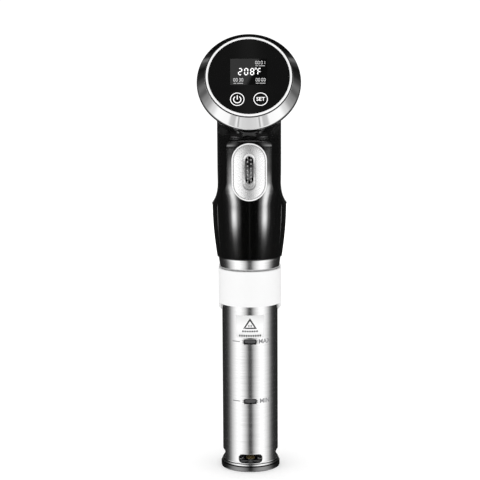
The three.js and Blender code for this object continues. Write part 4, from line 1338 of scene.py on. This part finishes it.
def directions(m):
    """Bearing from the front, 0 to 180 degrees either way, and elevation, of a point on the tent."""
    x, y, z = m.parts(m.position())
    bearing = m.math("DEGREES", m.math("ABSOLUTE", m.math("ARCTAN2", x, m.math("MULTIPLY", y, -1.0))))
    level = m.math("SQRT", m.math("ADD", m.math("MULTIPLY", x, x), m.math("MULTIPLY", y, y)))
    elevation = m.math("DEGREES", m.math("ARCTAN2", m.math("SUBTRACT", z, TENT_Z), level))
    return bearing, elevation


def glow(m, strength, see_through=False):
    """Makes the material shine, and lets an outer tent show through where asked."""
    m.tree.nodes.remove(m.shader)
    surface = m.add("ShaderNodeEmission", {"Strength": strength}).outputs[0]
    if see_through:
        both = m.add("ShaderNodeAddShader", {0: surface})
        m.tree.links.new(m.add("ShaderNodeBsdfTransparent").outputs[0], both.inputs[1])
        surface = both.outputs[0]
    m.tree.links.new(surface, m.tree.nodes["Material Output"].inputs["Surface"])
    return m.material


def metal_light():
    """Wide white sides with a dark slit ahead, dark behind and above, white below."""
    m = Nodes("metal_light")
    bearing, elevation = directions(m)
    walls = ramp(m, bearing, [(0, 0.09), (5, 0.12), (12, 0.46), (20, 0.82), (29, 1.12), (38, 1.36),
                              (48, 1.44), (58, 1.34), (68, 1.08), (78, 0.76), (88, 0.38), (98, 0.14),
                              (110, 0.05), (126, 0.03), (162, 0.02), (168, 0.5), (180, 0.7)])
    low = ramp(m, bearing, [(0, 0.7), (50, 1.0), (85, 1.2), (110, 0.9), (125, 0.05), (180, 0.02)])
    below = ramp(m, elevation, [(-90, 1), (-42, 1), (-33, 0), (90, 0)])
    above = ramp(m, elevation, [(-90, 1), (-2, 1), (8, 0.25), (22, 0.06), (90, 0.02)])
    level = m.math("MULTIPLY", walls, above)
    return glow(m, m.add("ShaderNodeMix", {"Factor": below, 2: level, 3: low}, data_type="FLOAT").outputs[0])


def chrome_light():
    """Light with soft bands for the lower half of the bezel, and near black for its upper half."""
    m = Nodes("chrome_light")
    bearing, _ = directions(m)
    bands = ramp(m, bearing, [(0, 0.72), (18, 0.76), (26, 0.85), (29, 0.4), (33, 1.0), (39, 0.6),
                              (46, 0.65), (52, 1.1), (70, 1.15), (78, 0.8), (86, 0.38), (92, 0.26),
                              (98, 0.12), (104, 0.17), (112, 0.06), (117, 0.02), (127, 0.01), (134, 0.05),
                              (139, 0.16), (144, 0.02), (152, 0.005), (180, 0.005)])
    return glow(m, bands, see_through=True)


def black_light():
    """Near darkness with two tall strips ahead, two behind, and a soft lamp above each side."""
    m = Nodes("black_light")
    bearing, elevation = directions(m)
    around = ramp(m, bearing, [(0, 0.14), (2, 0.005), (20, 0.005), (35, 0.05), (60, 0.1), (90, 0.04),
                               (130, 0.03), (180, 0.05)])
    strip = ramp(m, bearing, [(0, 0), (25, 0), (34, 0.12), (46, 1), (50, 0.95), (60, 0.1), (69, 0),
                              (158, 0), (166, 0.6), (172, 0), (180, 0)])
    height = ramp(m, elevation, [(-90, 0), (-32, 0), (-27, 0.012), (-23, 0.045), (-19.4, 0.21),
                                 (-15.9, 0.76), (-13.7, 1), (-11, 0.88), (-9.5, 0.85), (-8.5, 0.66),
                                 (-7.6, 0.34), (-6.8, 0.04), (-5, 0.02), (8, 0), (90, 0)])
    lamp = ramp(m, bearing, [(0, 0), (32, 0), (56, 1), (80, 0.2), (100, 0), (180, 0)])
    lamp_height = ramp(m, elevation, [(-90, 0), (5, 0), (28, 1), (45, 0.3), (60, 0), (90, 0)])
    strips = m.math("MULTIPLY", m.math("MULTIPLY", strip, height), 11.5)
    lamps = m.math("MULTIPLY", m.math("MULTIPLY", lamp, lamp_height), 3.0)
    return glow(m, m.math("ADD", around, m.math("ADD", strips, lamps)), see_through=True)


def light_tents():
    """The black pieces, the bezel and the rest each have a tent of their own, like separate exposures."""
    others = bpy.data.collections.new("other_receivers")
    for name, radius, light, names in (("black_tent", TENT_R, black_light(), BLACK_PIECES),
                                       ("chrome_tent", TENT_R * 1.05, chrome_light(), CHROME_PIECES)):
        receivers = bpy.data.collections.new(f"{name}_receivers")
        for piece_name in names:
            for collection in (receivers, others):
                collection.objects.link(bpy.data.objects[f"{piece_name}_skin"])
        light_tent(name, radius, light, receivers)
    for entry in others.collection_objects:
        entry.light_linking.link_state = "EXCLUDE"
    light_tent("metal_tent", TENT_R * 1.1, metal_light(), others)


def world():
    background = bpy.data.worlds.new("studio")
    background.use_nodes = True
    background.node_tree.nodes["Background"].inputs["Color"].default_value = grey(1.0)
    background.node_tree.nodes["Background"].inputs["Strength"].default_value = SKY_STRENGTH
    background.cycles_visibility.glossy = False
    bpy.context.scene.world = background


def camera():
    data = bpy.data.cameras.new("camera")
    data.sensor_width = SENSOR
    data.lens = FOCAL_LENGTH
    data.clip_start = 0.05
    obj = bpy.data.objects.new("camera", data)
    bpy.context.scene.collection.objects.link(obj)
    place = Matrix.Translation(Vector((0, -CAMERA_DISTANCE, CAMERA_HEIGHT)) * MM)
    turn = Matrix.Rotation(math.radians(CAMERA_TURN), 4, "Z")
    pitch = Matrix.Rotation(math.radians(90 - CAMERA_PITCH), 4, "X")
    roll = Matrix.Rotation(math.radians(-CAMERA_ROLL), 4, "Z")
    obj.matrix_world = place @ turn @ pitch @ roll
    bpy.context.scene.camera = obj


bpy.context.scene.view_settings.view_transform = "Standard"
camera()
world()
studio_floor()
finish_cad_nodes()
for make in (front_shell, rear_shell, steel_tube, base_cap, collar_ring, clamp_collar, clamp_rear, clip_lever,
             clip_hardware, wheel_plate, wheel_well, scroll_wheel, bezel, display, touch_icons, level_marks,
             heat_label, cable_gland, case_screws, light_tents):
    make()

bpy.context.view_layer.update()
